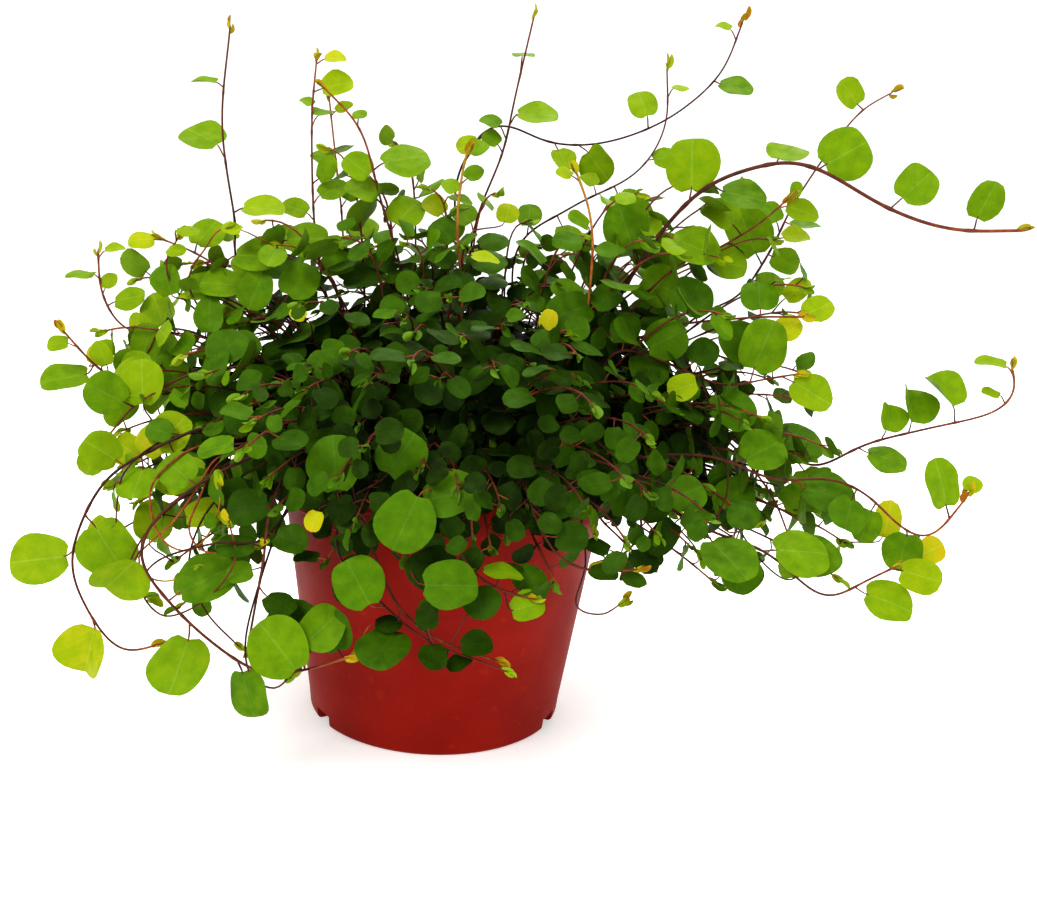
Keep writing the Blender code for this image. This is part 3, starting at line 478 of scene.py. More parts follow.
def applied(piece):  # the evaluated mesh takes the place of the live modifiers
    graph = bpy.context.evaluated_depsgraph_get()
    evaluated = piece.evaluated_get(graph)
    mesh = bpy.data.meshes.new_from_object(evaluated, preserve_all_data_layers=True, depsgraph=graph)
    mesh.name = piece.name
    piece.modifiers.clear()
    piece.data = mesh


def potProfile():  # up the outside, down the inside, with small numbers that round its corners off
    s = potSizes
    bandFoot = potHeight - s["bandHeight"]
    wallTop = wallRadius(bandFoot)
    bandLow = wallTop + s["bandStep"]
    lipFoot = potHeight - s["lipHeight"]
    lip = s["lipRound"]
    foot = wallRadius(1.4 * s["footRound"])
    profile = [(radius, 0.0) for radius in s["footRings"]]
    profile += arc((foot - s["footRound"] - 0.1, s["footRound"] + 0.2), s["footRound"] + 0.2, -90, -8, 6)
    profile += [(wallRadius(z), z) for z in s["wallHeights"]]
    profile += [(wallTop - 0.02, bandFoot - 1.0)]
    profile += arc((wallTop + 0.5, bandFoot - 0.45), 0.5, 180, 90, 4)
    profile += arc((bandLow - 0.55, bandFoot + 0.75), 0.7, -90, -6, 5)
    profile += [(bandLow + 0.35, bandFoot + 6.0), (potRim - s["round"] - 0.1, lipFoot - 0.6)]
    profile += arc((potRim - lip, lipFoot + 0.7), lip, -70, 0, 5)
    profile += arc((potRim - lip, potHeight - lip), lip, 0, 90, 6)
    profile += arc((potRim - s["lipThickness"] + 0.4, potHeight - 0.4), 0.4, 90, 180, 4)
    profile += [
        (bandLow - s["wall"] + 0.4, bandFoot + 7.0),
        (bandLow - s["wall"], bandFoot + 2 * s["wall"]),
        (wallTop - s["wall"], bandFoot + s["wall"]),
        (wallRadius(40) - s["wall"], 40.0),
        (wallRadius(s["wall"]) - 1.3 * s["wall"], s["wall"]),
        (0.0, s["wall"]),
    ]
    return profile


def cutOpenings(pot):  # the notches at the foot and the drain holes
    s = potSizes
    cutters = bpy.data.collections.new("potCutters")
    scene.collection.children.link(cutters)
    shape = bmesh.new()
    for degrees in s["notchAngles"]:
        turn = Matrix.Rotation(math.radians(degrees), 4, "Z")
        place = Matrix.Translation(Vector((s["notchRing"], 0, 0)) * mm)
        size = Matrix.Diagonal((*[v * mm for v in s["notchSize"]], 1))
        bmesh.ops.create_cube(shape, size=1.0, matrix=turn @ place @ size)
    for k in range(s["drainHoles"]):
        angle = math.tau * (k + 0.5) / s["drainHoles"]
        place = Vector((math.cos(angle), math.sin(angle), 0)) * s["drainRing"] * mm
        bmesh.ops.create_cone(
            shape, cap_ends=True, segments=s["drainSides"], radius1=s["drainRadius"] * mm,
            radius2=s["drainRadius"] * mm, depth=6 * s["wall"] * mm, matrix=Matrix.Translation(place),
        )
    cutMesh = bpy.data.meshes.new("potCutters")
    shape.to_mesh(cutMesh)
    shape.free()
    cutter = bpy.data.objects.new("potCutters", cutMesh)
    cutters.objects.link(cutter)
    cut = pot.modifiers.new("openings", "BOOLEAN")
    cut.operation = "DIFFERENCE"
    cut.object = cutter
    applied(pot)
    bpy.data.objects.remove(cutter)
    bpy.data.collections.remove(cutters)


def makePot():
    pot = newPiece("nurseryPot", turnedMesh("nurseryPot", potProfile(), potSizes["sides"]))
    cutOpenings(pot)
    pot.data.shade_smooth()
    pot.data.set_sharp_from_angle(angle=math.radians(potSizes["sharpAngle"]))
    pot.data.materials.append(potMaterial)
    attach(pot, "root")
    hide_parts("pot")


def makeMix():  # a crumbly top on a plain plug that fills the pot, and loose crumbs over it
    s = mixSizes
    foot = potSizes["wall"] + s["footGap"]
    top = s["top"] - s["topDrop"]
    bandFoot = potHeight - potSizes["bandHeight"]
    reach = wallRadius(bandFoot) - s["sideGap"]
    profile = [(0.0, foot), (wallRadius(foot) - 1.3 * s["sideGap"], foot)]
    profile += [(wallRadius(40) - s["sideGap"], 40.0), (reach, bandFoot)]
    profile += [(reach, s["top"] - s["edgeDrop"])]
    profile += [((reach - s["edge"]) * (1 - k / s["rings"]), top) for k in range(s["rings"])]
    profile.append((0.0, top))
    mesh = turnedMesh("peatPlug", profile, s["sides"])
    fine, broad = s["swells"]
    lowest, highest = s["swellLimits"]
    for vertex in mesh.vertices:
        if vertex.co.z > (s["top"] - 1.0) * mm:
            swell = noise.fractal(vertex.co * fine, 1.0, 2.0, 4) + 0.5 * noise.noise(vertex.co * broad)
            vertex.co.z += s["rough"] * mm * max(lowest, min(highest, swell))
    plug = newPiece("peatPlug", mesh)
    mesh.materials.append(mixMaterial)
    mesh.shade_smooth()
    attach(plug, "root")
    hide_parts("potting_mix")
    crumbs = newPiece("peatCrumbs", mesh.copy())
    tree = makeCrumbTree()
    grow = crumbs.modifiers.new("crumbs", "NODES")
    grow.node_group = tree
    setInputs(grow, tree, {
        "Count Density": s["crumbs"] / (math.pi * (reach * mm) ** 2),
        "Smallest": s["crumbSize"][0] * mm,
        "Largest": s["crumbSize"][1] * mm,
        "Top Height": (s["top"] - s["crumbDrop"]) * mm,
        "Seed": s["seed"],
    })
    applied(crumbs)
    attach(crumbs, "root")


def newTree(name, inputs):
    tree = bpy.data.node_groups.new(name, "GeometryNodeTree")
    tree.interface.new_socket("Geometry", in_out="INPUT", socket_type="NodeSocketGeometry")
    for label, kind in inputs:
        tree.interface.new_socket(label, in_out="INPUT", socket_type="NodeSocket" + kind)
    tree.interface.new_socket("Geometry", in_out="OUTPUT", socket_type="NodeSocketGeometry")
    start = tree.nodes.new("NodeGroupInput")
    end = tree.nodes.new("NodeGroupOutput")
    return tree, start.outputs, end


def setInputs(modifier, tree, values):
    for item in tree.interface.items_tree:
        if item.in_out == "INPUT" and item.name in values:
            modifier[item.identifier] = values[item.name]


def realized(tree, instances):
    loose = {"Geometry": instances.outputs["Instances"]}
    return addNode(tree, "GeometryNodeRealizeInstances", loose).outputs["Geometry"]


def painted(tree, geometry, material):
    both = {"Geometry": geometry, "Material": material}
    return addNode(tree, "GeometryNodeSetMaterial", both).outputs["Geometry"]


def makeCrumbTree():
    tree, given, end = newTree("crumbTree", (
        ("Count Density", "Float"), ("Smallest", "Float"), ("Largest", "Float"),
        ("Top Height", "Float"), ("Seed", "Int"),
    ))
    spot = addNode(tree, "GeometryNodeInputPosition")
    height = addNode(tree, "ShaderNodeSeparateXYZ", {"Vector": spot.outputs[0]}).outputs["Z"]
    onTop = addNode(tree, "FunctionNodeCompare", {"A": height, "B": given["Top Height"]},
                    operation="GREATER_THAN", data_type="FLOAT")
    spread = addNode(tree, "GeometryNodeDistributePointsOnFaces", {
        "Mesh": given["Geometry"], "Selection": onTop.outputs[0],
        "Density": given["Count Density"], "Seed": given["Seed"],
    })
    crumb = addNode(tree, "GeometryNodeMeshIcoSphere", {"Radius": 0.5, "Subdivisions": 1})
    uneven = mixSizes["crumbUneven"]
    offset = {"Min": (-uneven,) * 3, "Max": (uneven,) * 3}
    jitter = addNode(tree, "FunctionNodeRandomValue", offset, data_type="FLOAT_VECTOR")
    rough = addNode(tree, "GeometryNodeSetPosition", {
        "Geometry": crumb.outputs["Mesh"], "Offset": jitter.outputs[0],
    })
    sizes = {2: given["Smallest"], 3: given["Largest"]}
    size = addNode(tree, "FunctionNodeRandomValue", sizes, data_type="FLOAT")
    turns = {"Max": (math.tau,) * 3}
    turn = addNode(tree, "FunctionNodeRandomValue", turns, data_type="FLOAT_VECTOR")
    grown = addNode(tree, "GeometryNodeInstanceOnPoints", {
        "Points": spread.outputs["Points"], "Instance": rough.outputs["Geometry"],
        "Rotation": turn.outputs[0], "Scale": size.outputs[1],
    })
    tree.links.new(painted(tree, realized(tree, grown), mixMaterial), end.inputs["Geometry"])
    return tree


makePot()
makeMix()
print("pot and potting mix made")


# Vine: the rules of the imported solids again, so that every fine stem and leaf lies where its solid is
vineRules = {
    "mixTop": mixSizes["top"],
    "potHeight": 94.0,
    "rimRadius": 60.0,
    "rootNeck": 2.0,
    "stemClearance": 4.2,
    "potClearance": 2.2,
    "mixClearance": 1.6,
    "outwardPull": 2.0,
    "settlingRounds": 60,
    "easingRounds": 3,
    "routeStep": 3.0,
    "routePieces": 12,
    "tubeTolerance": 1.6,
    "largeBlade": 13.5,
    "smallestBlade": 9.5,  # the solids have smaller ones only beyond tipShare
    "tipShare": 0.9,
    "largePetioles": (3.0, 4.4),
    "smallPetioles": (2.2, 3.2),
    "waves": (-0.05, 0.05),
    "curls": (-0.02, 0.12),
    "backDepth": 45.0,
    "reachDepth": (-0.22, 0.22),
    "lastStart": 0.985,
    "axisShare": 0.03,
    "swings": (0, 15, -15, 30, -30, 50, -50, 80, -80, 120, -120, 180),
    "twists": (0, 25, -25, 50, -50, 80, -80),
    "twistCost": 0.8,
    "bladeHalf": 0.325,
    "found": 0.06,  # how near a leaf's tip has to lie to the solid's
}
moundRules = {
    "tufts": 11,
    "ring": 44.0,
    "spacing": 7.0,
    "nudge": math.radians(6),
    "goldenAngle": math.radians(137.508),
    "falls": (0.55, 1.0),
    "spread": 0.7,
    "centreZ": 96.0,
    "reach": Vector((118.0, 100.0, 70.0)),
    "skirtReachZ": 41.0,
    "topFall": 22.0,
    "fall": 84.0,
    "rise": 20.0,
    "lean": 0.12,
    "ease": (20.0, 15.0),
    "blades": 6,
    "bladeShift": (0.1, 0.9),  # where a leaf stands in its part of the stem
    "bareShare": 0.34,
    "bladeSizes": (14.5, 18.5),
    "shrink": (1.12, 0.35),  # what a leaf's size is multiplied by, and how that falls along the stem
    "tilts": (5, 55),
    "tiltUp": 0.7,
    "faceSpread": 0.25,
    "reachAhead": (0.1, 0.8),
    "reachUp": (-0.1, 0.3),
    "headings": (-0.15, 0.15),
    "lengths": (0.90, 1.0),
    "seed": 47,
}

# Runners as in the solids: the root's place in the mix, the points that the stem passes, and its
# blades as share of the stem, clock angle, length and tilt. tone is the age of the wood's colour.
# girth and tone are given where they aren't shootLook's.
runners = {
    "left_tall": {
        "root": (-26, 12), "tone": 0.2,
        "route": [(-44, 12, 122), (-76, 5, 153), (-77, 0, 169), (-81, -3, 201), (-77, -8, 232)],
        "blades": [(0.45, 80, 16, 50), (0.56, 110, 8, 60), (0.64, 25, 14, 58), (0.75, 130, 16, 54),
                   (0.88, 145, 9, 70)],
    },
    "left_orange": {
        "root": (-14, 20), "tone": 0.3,
        "route": [(-26, 18, 118), (-44, 16, 137), (-54, 24, 163), (-59, 34, 206), (-59, 40, 232)],
        "blades": [(0.54, 110, 16, 50), (0.62, 125, 11, 42), (0.66, 50, 12, 43), (0.70, 70, 11, 10),
                   (0.83, 80, 9, 65), (0.87, 125, 7, 50), (0.92, 45, 12, 24), (1.0, 25, 8, 48)],
    },
    "left_bow": {
        "root": (-4, 10), "girth": 0.48, "tone": 0.36,
        "route": [(-12, 8, 116), (-17, -1, 150), (-27, -7, 182), (-33, -13, 202), (-45, -17, 214)],
        "blades": [(0.52, 140, 12, 43), (0.63, 60, 13, 35), (0.69, 130, 12, 36), (0.75, 140, 11, 25),
                   (0.78, 35, 17, 49), (0.88, 90, 6, 50)],
    },
    "left_back": {
        "root": (-10, 34), "girth": 0.44, "tone": 0.4,
        "route": [(-16, 34, 120), (-42, 33, 153), (-48, 37, 180), (-52, 41, 202), (-55, 44, 219)],
        "blades": [(0.49, 105, 14, 43), (0.57, 135, 11, 42), (0.61, 80, 13, 45), (0.71, 60, 10, 32),
                   (0.80, 130, 10, 49), (0.95, 40, 7, 30)],
    },
    "centre_tall": {
        "root": (6, 14), "tone": 0.22,
        "route": [(4, 14, 120), (4, 6, 169), (13, 4, 199), (16, 0, 216), (21, -4, 243)],
        "blades": [(0.50, 40, 12, 49), (0.54, 100, 10, 42), (0.72, 130, 7, 28), (0.75, 125, 8, 51),
                   (0.77, 70, 14, 53), (0.88, 70, 10, 70)],
    },
    "centre_orange": {
        "root": (2, -6), "girth": 0.52, "tone": 0.62,
        "route": [(0, -8, 112), (3, -9, 146), (0, -12, 172), (1, -15, 191), (3, -20, 198)],
        "blades": [(0.61, 60, 14, 56), (0.64, 145, 11, 46), (0.71, 135, 11, 34), (0.84, 120, 7, 43),
                   (0.88, 55, 7, 35), (0.95, 55, 8, 41)],
    },
    "high_arch": {
        "root": (12, 26), "girth": 0.42, "tone": 0.06,
        "route": [(10, 27, 122), (-4, 24, 180), (2, 26, 204), (12, 28, 211), (30, 31, 206), (50, 35, 208),
                  (72, 38, 218), (90, 41, 235), (97, 42, 255)],
        "blades": [(0.52, 225, 9, 35), (0.63, 290, 10, 39), (0.67, 320, 14, -47), (0.78, 105, 13, 33),
                   (0.90, 345, 13, 51), (0.97, 125, 6, 51)],
    },
    "right_lean": {
        "root": (20, 18), "girth": 0.42, "tone": 0.18,
        "route": [(24, 18, 120), (19, 17, 165), (38, 22, 183), (61, 28, 197), (71, 34, 215), (70, 38, 237)],
        "blades": [(0.49, 90, 11, 42), (0.57, 295, 12, 45), (0.66, 110, 8, 47), (0.70, 305, 17, 23),
                   (0.79, 15, 11, 32), (0.93, 70, 7, 60)],
    },
    "right_orange": {
        "root": (16, -12), "girth": 0.5, "tone": 0.6,
        "route": [(22, -14, 108), (42, -20, 136), (45, -21, 163), (43, -23, 180), (37, -27, 193)],
        "blades": [(0.60, 45, 11, 34), (0.62, 140, 11, 35), (0.74, 55, 10, 53), (0.79, 175, 11, 45),
                   (0.96, 120, 6, 40)],
    },
    "right_arch": {
        "root": (30, 2), "girth": 0.74, "tone": 0.3,
        "route": [(42, -2, 118), (60, -7, 162), (77, -13, 188), (95, -19, 198), (111, -24, 199),
                  (135, -32, 187), (153, -38, 182), (173, -42, 183)],
        "blades": [(0.37, 345, 14, -25), (0.42, 95, 10, 42), (0.45, 330, 17, 43), (0.51, 45, 18, -22),
                   (0.55, 330, 15, 49), (0.64, 25, 13, 60), (0.70, 345, 17, 10), (0.82, 50, 14, 21),
                   (0.93, 40, 12, -35)],
    },
    "right_tip": {
        "root": (38, 16), "girth": 0.42, "tone": 0.24,
        "route": [(56, 16, 112), (84, 13, 146), (101, 16, 156), (112, 20, 174), (120, 25, 192),
                  (139, 32, 222), (154, 38, 233)],
        "blades": [(0.53, 20, 12, 31), (0.57, 92, 18, -16), (0.59, 340, 11, 10), (0.61, 157, 13, 52),
                   (0.64, 50, 10, 36), (0.66, 345, 11, 70), (0.70, 95, 6, -31), (0.92, 135, 11, -20)],
    },
    "right_round": {
        "root": (34, -14),
        "route": [(46, -18, 110), (54, -20, 136), (72, -22, 134), (90, -24, 128), (103, -26, 131),
                  (115, -27, 134)],
        "blades": [(0.49, 85, 12, 38), (0.53, 30, 15, -20), (0.66, 295, 9, 26), (0.68, 60, 11, 34),
                   (0.76, 300, 15, 42), (0.82, 97, 11, 45), (0.86, 50, 17, -29), (0.93, 110, 8, 10),
                   (0.95, 335, 14, 17)],
    },
    "right_long": {
        "root": (44, 6), "girth": 0.52, "tone": 0.32,
        "route": [(62, 2, 103), (88, -3, 113), (119, -3, 103), (131, -4, 99), (148, -2, 108), (169, 2, 114),
                  (194, 6, 121), (203, 10, 129), (202, 14, 138)],
        "blades": [(0.31, 10, 17, 60), (0.41, 10, 20, 54), (0.49, 345, 18, 38), (0.61, 340, 15, 60),
                   (0.66, 75, 11, 24), (0.71, 50, 17, 46), (0.81, 105, 16, 40), (0.92, 135, 7, 56),
                   (0.98, 130, 11, 70)],
    },
    "right_low": {
        "root": (38, -22), "girth": 0.48, "tone": 0.36,
        "route": [(56, -30, 101), (85, -38, 107), (107, -40, 101), (124, -42, 103), (136, -44, 99),
                  (147, -45, 90), (157, -46, 87), (167, -45, 101)],
        "blades": [(0.44, 0, 15, 38), (0.57, 325, 17, 50), (0.70, 250, 13, 31), (0.75, 305, 11, 10),
                   (0.84, 315, 13, -31), (0.94, 110, 15, -42), (1.0, 70, 7, 43)],
    },
    "right_under": {
        "root": (30, -32),
        "route": [(44, -44, 99), (60, -56, 99), (84, -58, 88), (103, -58, 82), (122, -58, 69),
                  (134, -58, 75), (144, -58, 81)],
        "blades": [(0.39, 10, 13, 39), (0.44, 240, 12, 36), (0.50, 320, 18, 59), (0.58, 80, 12, 47),
                   (0.61, 257, 13, 28), (0.64, 10, 18, 56), (0.74, 35, 14, -31), (0.89, 330, 15, 45),
                   (0.98, 355, 12, -31)],
    },
    "left_upper": {
        "root": (-38, 10),
        "route": [(-60, 8, 112), (-94, 5, 131), (-117, 8, 129), (-128, 11, 141), (-131, 15, 157)],
        "blades": [(0.53, 80, 13, 42), (0.58, 237, 14, 41), (0.64, 200, 13, 27), (0.84, 25, 12, 45),
                   (0.87, 80, 7, 36), (0.92, 155, 11, 74), (0.98, 45, 7, 61)],
    },
    "left_out": {
        "root": (-40, -4),
        "route": [(-64, -10, 106), (-84, -22, 114), (-98, -26, 112), (-112, -30, 120), (-123, -33, 133)],
        "blades": [(0.49, 235, 15, 39), (0.55, 163, 13, 5), (0.70, 180, 10, 60), (0.78, 50, 10, 32),
                   (0.81, 110, 8, -40), (0.83, 162, 10, 53), (0.86, 230, 15, 57), (0.93, 155, 7, 35)],
    },
    "left_fall": {
        "root": (-34, -16), "girth": 0.5,
        "route": [(-54, -28, 101), (-70, -44, 107), (-88, -50, 99), (-102, -54, 88), (-110, -58, 66),
                  (-105, -60, 50), (-94, -61, 37), (-82, -61, 40)],
        "blades": [(0.25, 155, 13, 31), (0.39, 175, 9, 33), (0.42, 297, 15, 35), (0.47, 235, 14, 47),
                   (0.51, 145, 13, -41), (0.63, 307, 17, 19), (0.71, 200, 18, 32), (0.85, 254, 17, -40)],
    },
    "left_sweep": {
        "root": (-28, -28), "girth": 0.5, "tone": 0.36,
        "route": [(-42, -40, 101), (-57, -60, 100), (-77, -68, 86), (-84, -71, 72), (-74, -73, 58),
                  (-58, -76, 46), (-45, -77, 40), (-31, -78, 43), (-19, -78, 48)],
        "blades": [(0.32, 233, 12, -31), (0.38, 142, 13, 42), (0.53, 281, 15, -11), (0.63, 40, 18, 45),
                   (0.68, 285, 18, 45), (0.79, 310, 16, -31), (0.84, 66, 19, 36), (0.98, 110, 12, 12)],
    },
    "left_drop": {
        "root": (-18, -34),
        "route": [(-27, -48, 101), (-41, -64, 100), (-46, -70, 88), (-47, -72, 74), (-49, -73, 60),
                  (-51, -74, 46)],
        "blades": [(0.42, 133, 13, 39), (0.50, 343, 11, 26), (0.56, 190, 12, 31), (0.64, 345, 10, 40),
                   (0.68, 180, 12, 60), (0.75, 200, 8, 21), (0.80, 305, 11, 60)],
    },
    "front_left": {
        "root": (-8, -38),
        "route": [(-12, -52, 103), (-23, -67, 101), (-19, -72, 88), (-12, -74, 73), (-7, -75, 63),
                  (5, -76, 54), (25, -76, 48)],
        "blades": [(0.24, 184, 18, -35), (0.28, 26, 15, -11), (0.45, 0, 17, -10), (0.54, 248, 16, 0),
                   (0.71, 258, 16, 64), (0.75, 40, 7, -23), (0.80, 324, 10, 62)],
    },
    "front_mid": {
        "root": (6, -38),
        "route": [(6, -53, 103), (3, -67, 103), (6, -72, 92), (11, -74, 79), (20, -75, 71), (33, -75, 68)],
        "blades": [(0.26, 0, 11, 30), (0.36, 289, 14, 33), (0.52, 209, 9, 41), (0.64, 265, 15, 50),
                   (0.78, 310, 12, 60), (0.86, 60, 8, 70), (0.92, 340, 10, 45)],
    },
    "front_right": {
        "root": (20, -34),
        "route": [(26, -48, 102), (27, -62, 103), (31, -68, 92), (38, -70, 81), (47, -69, 76),
                  (64, -68, 77)],
        "blades": [(0.38, 318, 11, 33), (0.42, 230, 9, 20), (0.52, 329, 9, 48), (0.55, 20, 10, 40),
                   (0.64, 345, 10, 19), (0.80, 340, 9, 70), (0.92, 15, 8, 70)],
    },
    "right_loop": {
        "root": (28, -24),
        "route": [(39, -36, 102), (48, -50, 104), (59, -56, 97), (65, -58, 88), (60, -60, 79),
                  (52, -62, 76)],
        "blades": [(0.50, 271, 9, 36), (0.58, 355, 9, 53), (0.68, 304, 11, 43), (0.73, 30, 10, 41),
                   (0.82, 284, 10, 53), (0.92, 163, 8, 52)],
    },
    "left_bush": {
        "root": (-20, 0),
        "route": [(-30, -2, 114), (-62, -6, 142), (-86, -4, 157), (-104, 0, 163)],
        "blades": [(0.44, 60, 14, 45), (0.55, 280, 14, 40), (0.66, 100, 14, 45), (0.77, 200, 13, 40),
                   (0.88, 70, 13, 35), (0.98, 180, 10, 40)],
    },
    "left_fan": {
        "root": (-24, -10),
        "route": [(-38, -16, 108), (-68, -30, 124), (-94, -36, 114), (-108, -38, 98)],
        "blades": [(0.40, 100, 14, 45), (0.52, 250, 14, 35), (0.64, 60, 14, 40), (0.76, 200, 15, 35),
                   (0.87, 100, 13, 40), (0.98, 250, 11, 35)],
    },
    "right_bush": {
        "root": (28, 20),
        "route": [(38, 16, 122), (58, 6, 152), (82, -2, 168), (100, -4, 180), (110, -4, 190)],
        "blades": [(0.42, 90, 13, 40), (0.53, 330, 14, 35), (0.64, 110, 14, 40), (0.75, 350, 14, 30),
                   (0.86, 130, 13, 35), (0.97, 20, 11, 30)],
    },
    "right_fan": {
        "root": (24, -2),
        "route": [(34, -8, 114), (64, -18, 142), (94, -22, 150), (116, -22, 152)],
        "blades": [(0.42, 80, 14, 45), (0.54, 300, 14, 35), (0.66, 70, 14, 40), (0.77, 320, 14, 35),
                   (0.88, 90, 13, 40), (0.98, 0, 11, 35)],
    },
    "right_bend": {
        "root": (40, -6),
        "route": [(56, -12, 106), (86, -22, 114), (108, -28, 96), (118, -30, 78)],
        "blades": [(0.40, 70, 14, 45), (0.52, 250, 13, 35), (0.64, 40, 14, 40), (0.76, 230, 14, 35),
                   (0.88, 30, 13, 40), (0.98, 280, 11, 35)],
    },
    "back_left": {
        "root": (-30, 28),
        "route": [(-50, 44, 106), (-74, 66, 112), (-92, 82, 98), (-103, 92, 76), (-108, 97, 54)],
        "blades": [(0.34, 130, 13, 45), (0.42, 300, 14, 40), (0.50, 160, 12, 30), (0.58, 20, 13, 45),
                   (0.67, 200, 15, 35), (0.76, 330, 13, 30), (0.86, 190, 14, 40), (0.96, 290, 10, 30)],
    },
    "back_middle": {
        "root": (-4, 43),
        "route": [(-6, 60, 106), (-14, 84, 110), (-24, 103, 90), (-28, 110, 62)],
        "blades": [(0.34, 60, 12, 45), (0.44, 170, 14, 40), (0.54, 10, 13, 35), (0.64, 190, 15, 30),
                   (0.75, 340, 14, 35), (0.86, 200, 12, 40), (0.96, 280, 10, 30)],
    },
    "back_reach": {
        "root": (16, 40),
        "route": [(24, 62, 116), (42, 86, 136), (62, 102, 145), (84, 110, 142)],
        "blades": [(0.36, 120, 12, 45), (0.46, 330, 14, 40), (0.56, 100, 13, 45), (0.66, 300, 14, 35),
                   (0.77, 80, 12, 40), (0.87, 290, 11, 45), (0.97, 30, 8, 30)],
    },
    "back_right": {
        "root": (32, 30),
        "route": [(46, 44, 104), (66, 64, 112), (86, 80, 100), (98, 86, 78), (100, 88, 56)],
        "blades": [(0.32, 60, 13, 45), (0.42, 240, 14, 40), (0.52, 30, 13, 35), (0.62, 220, 15, 35),
                   (0.72, 350, 14, 30), (0.83, 190, 12, 40), (0.94, 320, 11, 30)],
    },
}


def neighbours(points):  # each step of a line with the points before and after it
    ends = [2 * points[0] - points[1], *points, 2 * points[-1] - points[-2]]
    return zip(ends, ends[1:], ends[2:], ends[3:])


def smoothRoute(points, step):
    fine = []
    for a, b, c, d in neighbours(points):
        for k in range(vineRules["routePieces"]):
            t = k / vineRules["routePieces"]
            fine.append(
                0.5 * (2 * b + (c - a) * t + (2 * a - 5 * b + 4 * c - d) * t * t
                       + (3 * b - a - 3 * c + d) * t ** 3)
            )
    fine.append(points[-1])
    return evenly(fine, step)


def bent(a, b, c, d, pieces):  # a line from a to d that b and c pull
    line = []
    for k in range(pieces + 1):
        t = k / pieces
        left = 1 - t
        line.append(left ** 3 * a + 3 * t * left ** 2 * b + 3 * t * t * left * c + t ** 3 * d)
    return line


def evenly(line, step):
    length = sum((b - a).length for a, b in zip(line, line[1:]))
    count = max(2, round(length / step))
    return [pointAt(line, k / count) for k in range(count + 1)]


def pointAt(line, share):
    lengths = [(b - a).length for a, b in zip(line, line[1:])]
    left = share * sum(lengths)
    for (a, b), length in zip(zip(line, line[1:]), lengths):
        if left <= length:
            return a.lerp(b, left / length)
        left -= length
    return line[-1].copy()


def axisAt(line, share):
    apart = vineRules["axisShare"]
    return (pointAt(line, min(share + apart, 1.0)) - pointAt(line, share - apart)).normalized()


def newStem(node, line, blades, ofMound):
    return {"node": node, "line": line, "blades": blades, "ofMound": ofMound}


def runnerStems():
    stems = []
    for name, runner in runners.items():
        x, y = runner["root"]
        route = [Vector((x, y, vineRules["mixTop"]))]
        route.append(route[0] + Vector((0, 0, 2 * vineRules["rootNeck"])))
        route += [Vector(point) for point in runner["route"]]
        line = smoothRoute(route, vineRules["routeStep"])
        stems.append(newStem("runner_" + name, line, runner["blades"], False))
    return stems


def tuftRoots():
    m = moundRules
    taken = [Vector(runner["root"]) for runner in runners.values()]
    places = []
    for number in range(m["tufts"]):
        radius = m["ring"] * math.sqrt((number + 0.5) / m["tufts"])
        angle = number * m["goldenAngle"]
        place = Vector((math.cos(angle), math.sin(angle))) * radius
        while any((place - other).length < m["spacing"] for other in taken + places):
            angle += m["nudge"]
            place = Vector((math.cos(angle), math.sin(angle))) * radius
        places.append(place)
    return places


def moundPoint(azimuth, fall):
    m = moundRules
    rise = math.cos(math.radians(fall))
    out = math.sin(math.radians(fall))
    reachZ = m["reach"].z if rise > 0 else m["skirtReachZ"]
    return Vector((
        m["reach"].x * out * math.cos(azimuth),
        m["reach"].y * out * math.sin(azimuth),
        m["centreZ"] + reachZ * rise,
    ))


def moundLine(root, end, azimuth):
    back, up = moundRules["ease"]
    out = Vector((math.cos(azimuth), math.sin(azimuth), 0.0))
    rise = root + Vector((0, 0, moundRules["rise"])) + moundRules["lean"] * (end - root)
    ease = end - back * out + Vector((0, 0, up))
    return evenly(bent(root, rise, ease, end, 2 * vineRules["routePieces"]), vineRules["routeStep"])


def moundSize(sizes, share, draw):
    most, fall = moundRules["shrink"]
    return draw.uniform(*sizes) * (most - fall * share)


def moundBlades(draw):
    m = moundRules
    blades = []
    for leaf in range(m["blades"]):
        place = (leaf + draw.uniform(*m["bladeShift"])) / m["blades"]
        share = m["bareShare"] + (1 - m["bareShare"]) * place
        size = moundSize(m["bladeSizes"], share, draw)
        side = 1 if leaf % 2 else -1
        blades.append((share, side, size, draw.uniform(*m["tilts"])))
    return blades


def moundStems():
    m = moundRules
    stems = []
    for number, place in enumerate(tuftRoots()):
        draw = random.Random(m["seed"] * 1000 + number)
        heading = math.atan2(place.y, place.x)
        furthest = m["topFall"] + m["fall"] * place.length / m["ring"]
        root = Vector((place.x, place.y, vineRules["mixTop"]))
        for k, share in enumerate(m["falls"]):
            azimuth = heading + m["spread"] * (k - 0.5) + draw.uniform(*m["headings"])
            end = moundPoint(azimuth, furthest * share) * draw.uniform(*m["lengths"])
            line = moundLine(root, end, azimuth)
            name = "tuft_%02d" % (number + 1)
            stems.append(newStem(name, line, moundBlades(draw), True))
    return stems


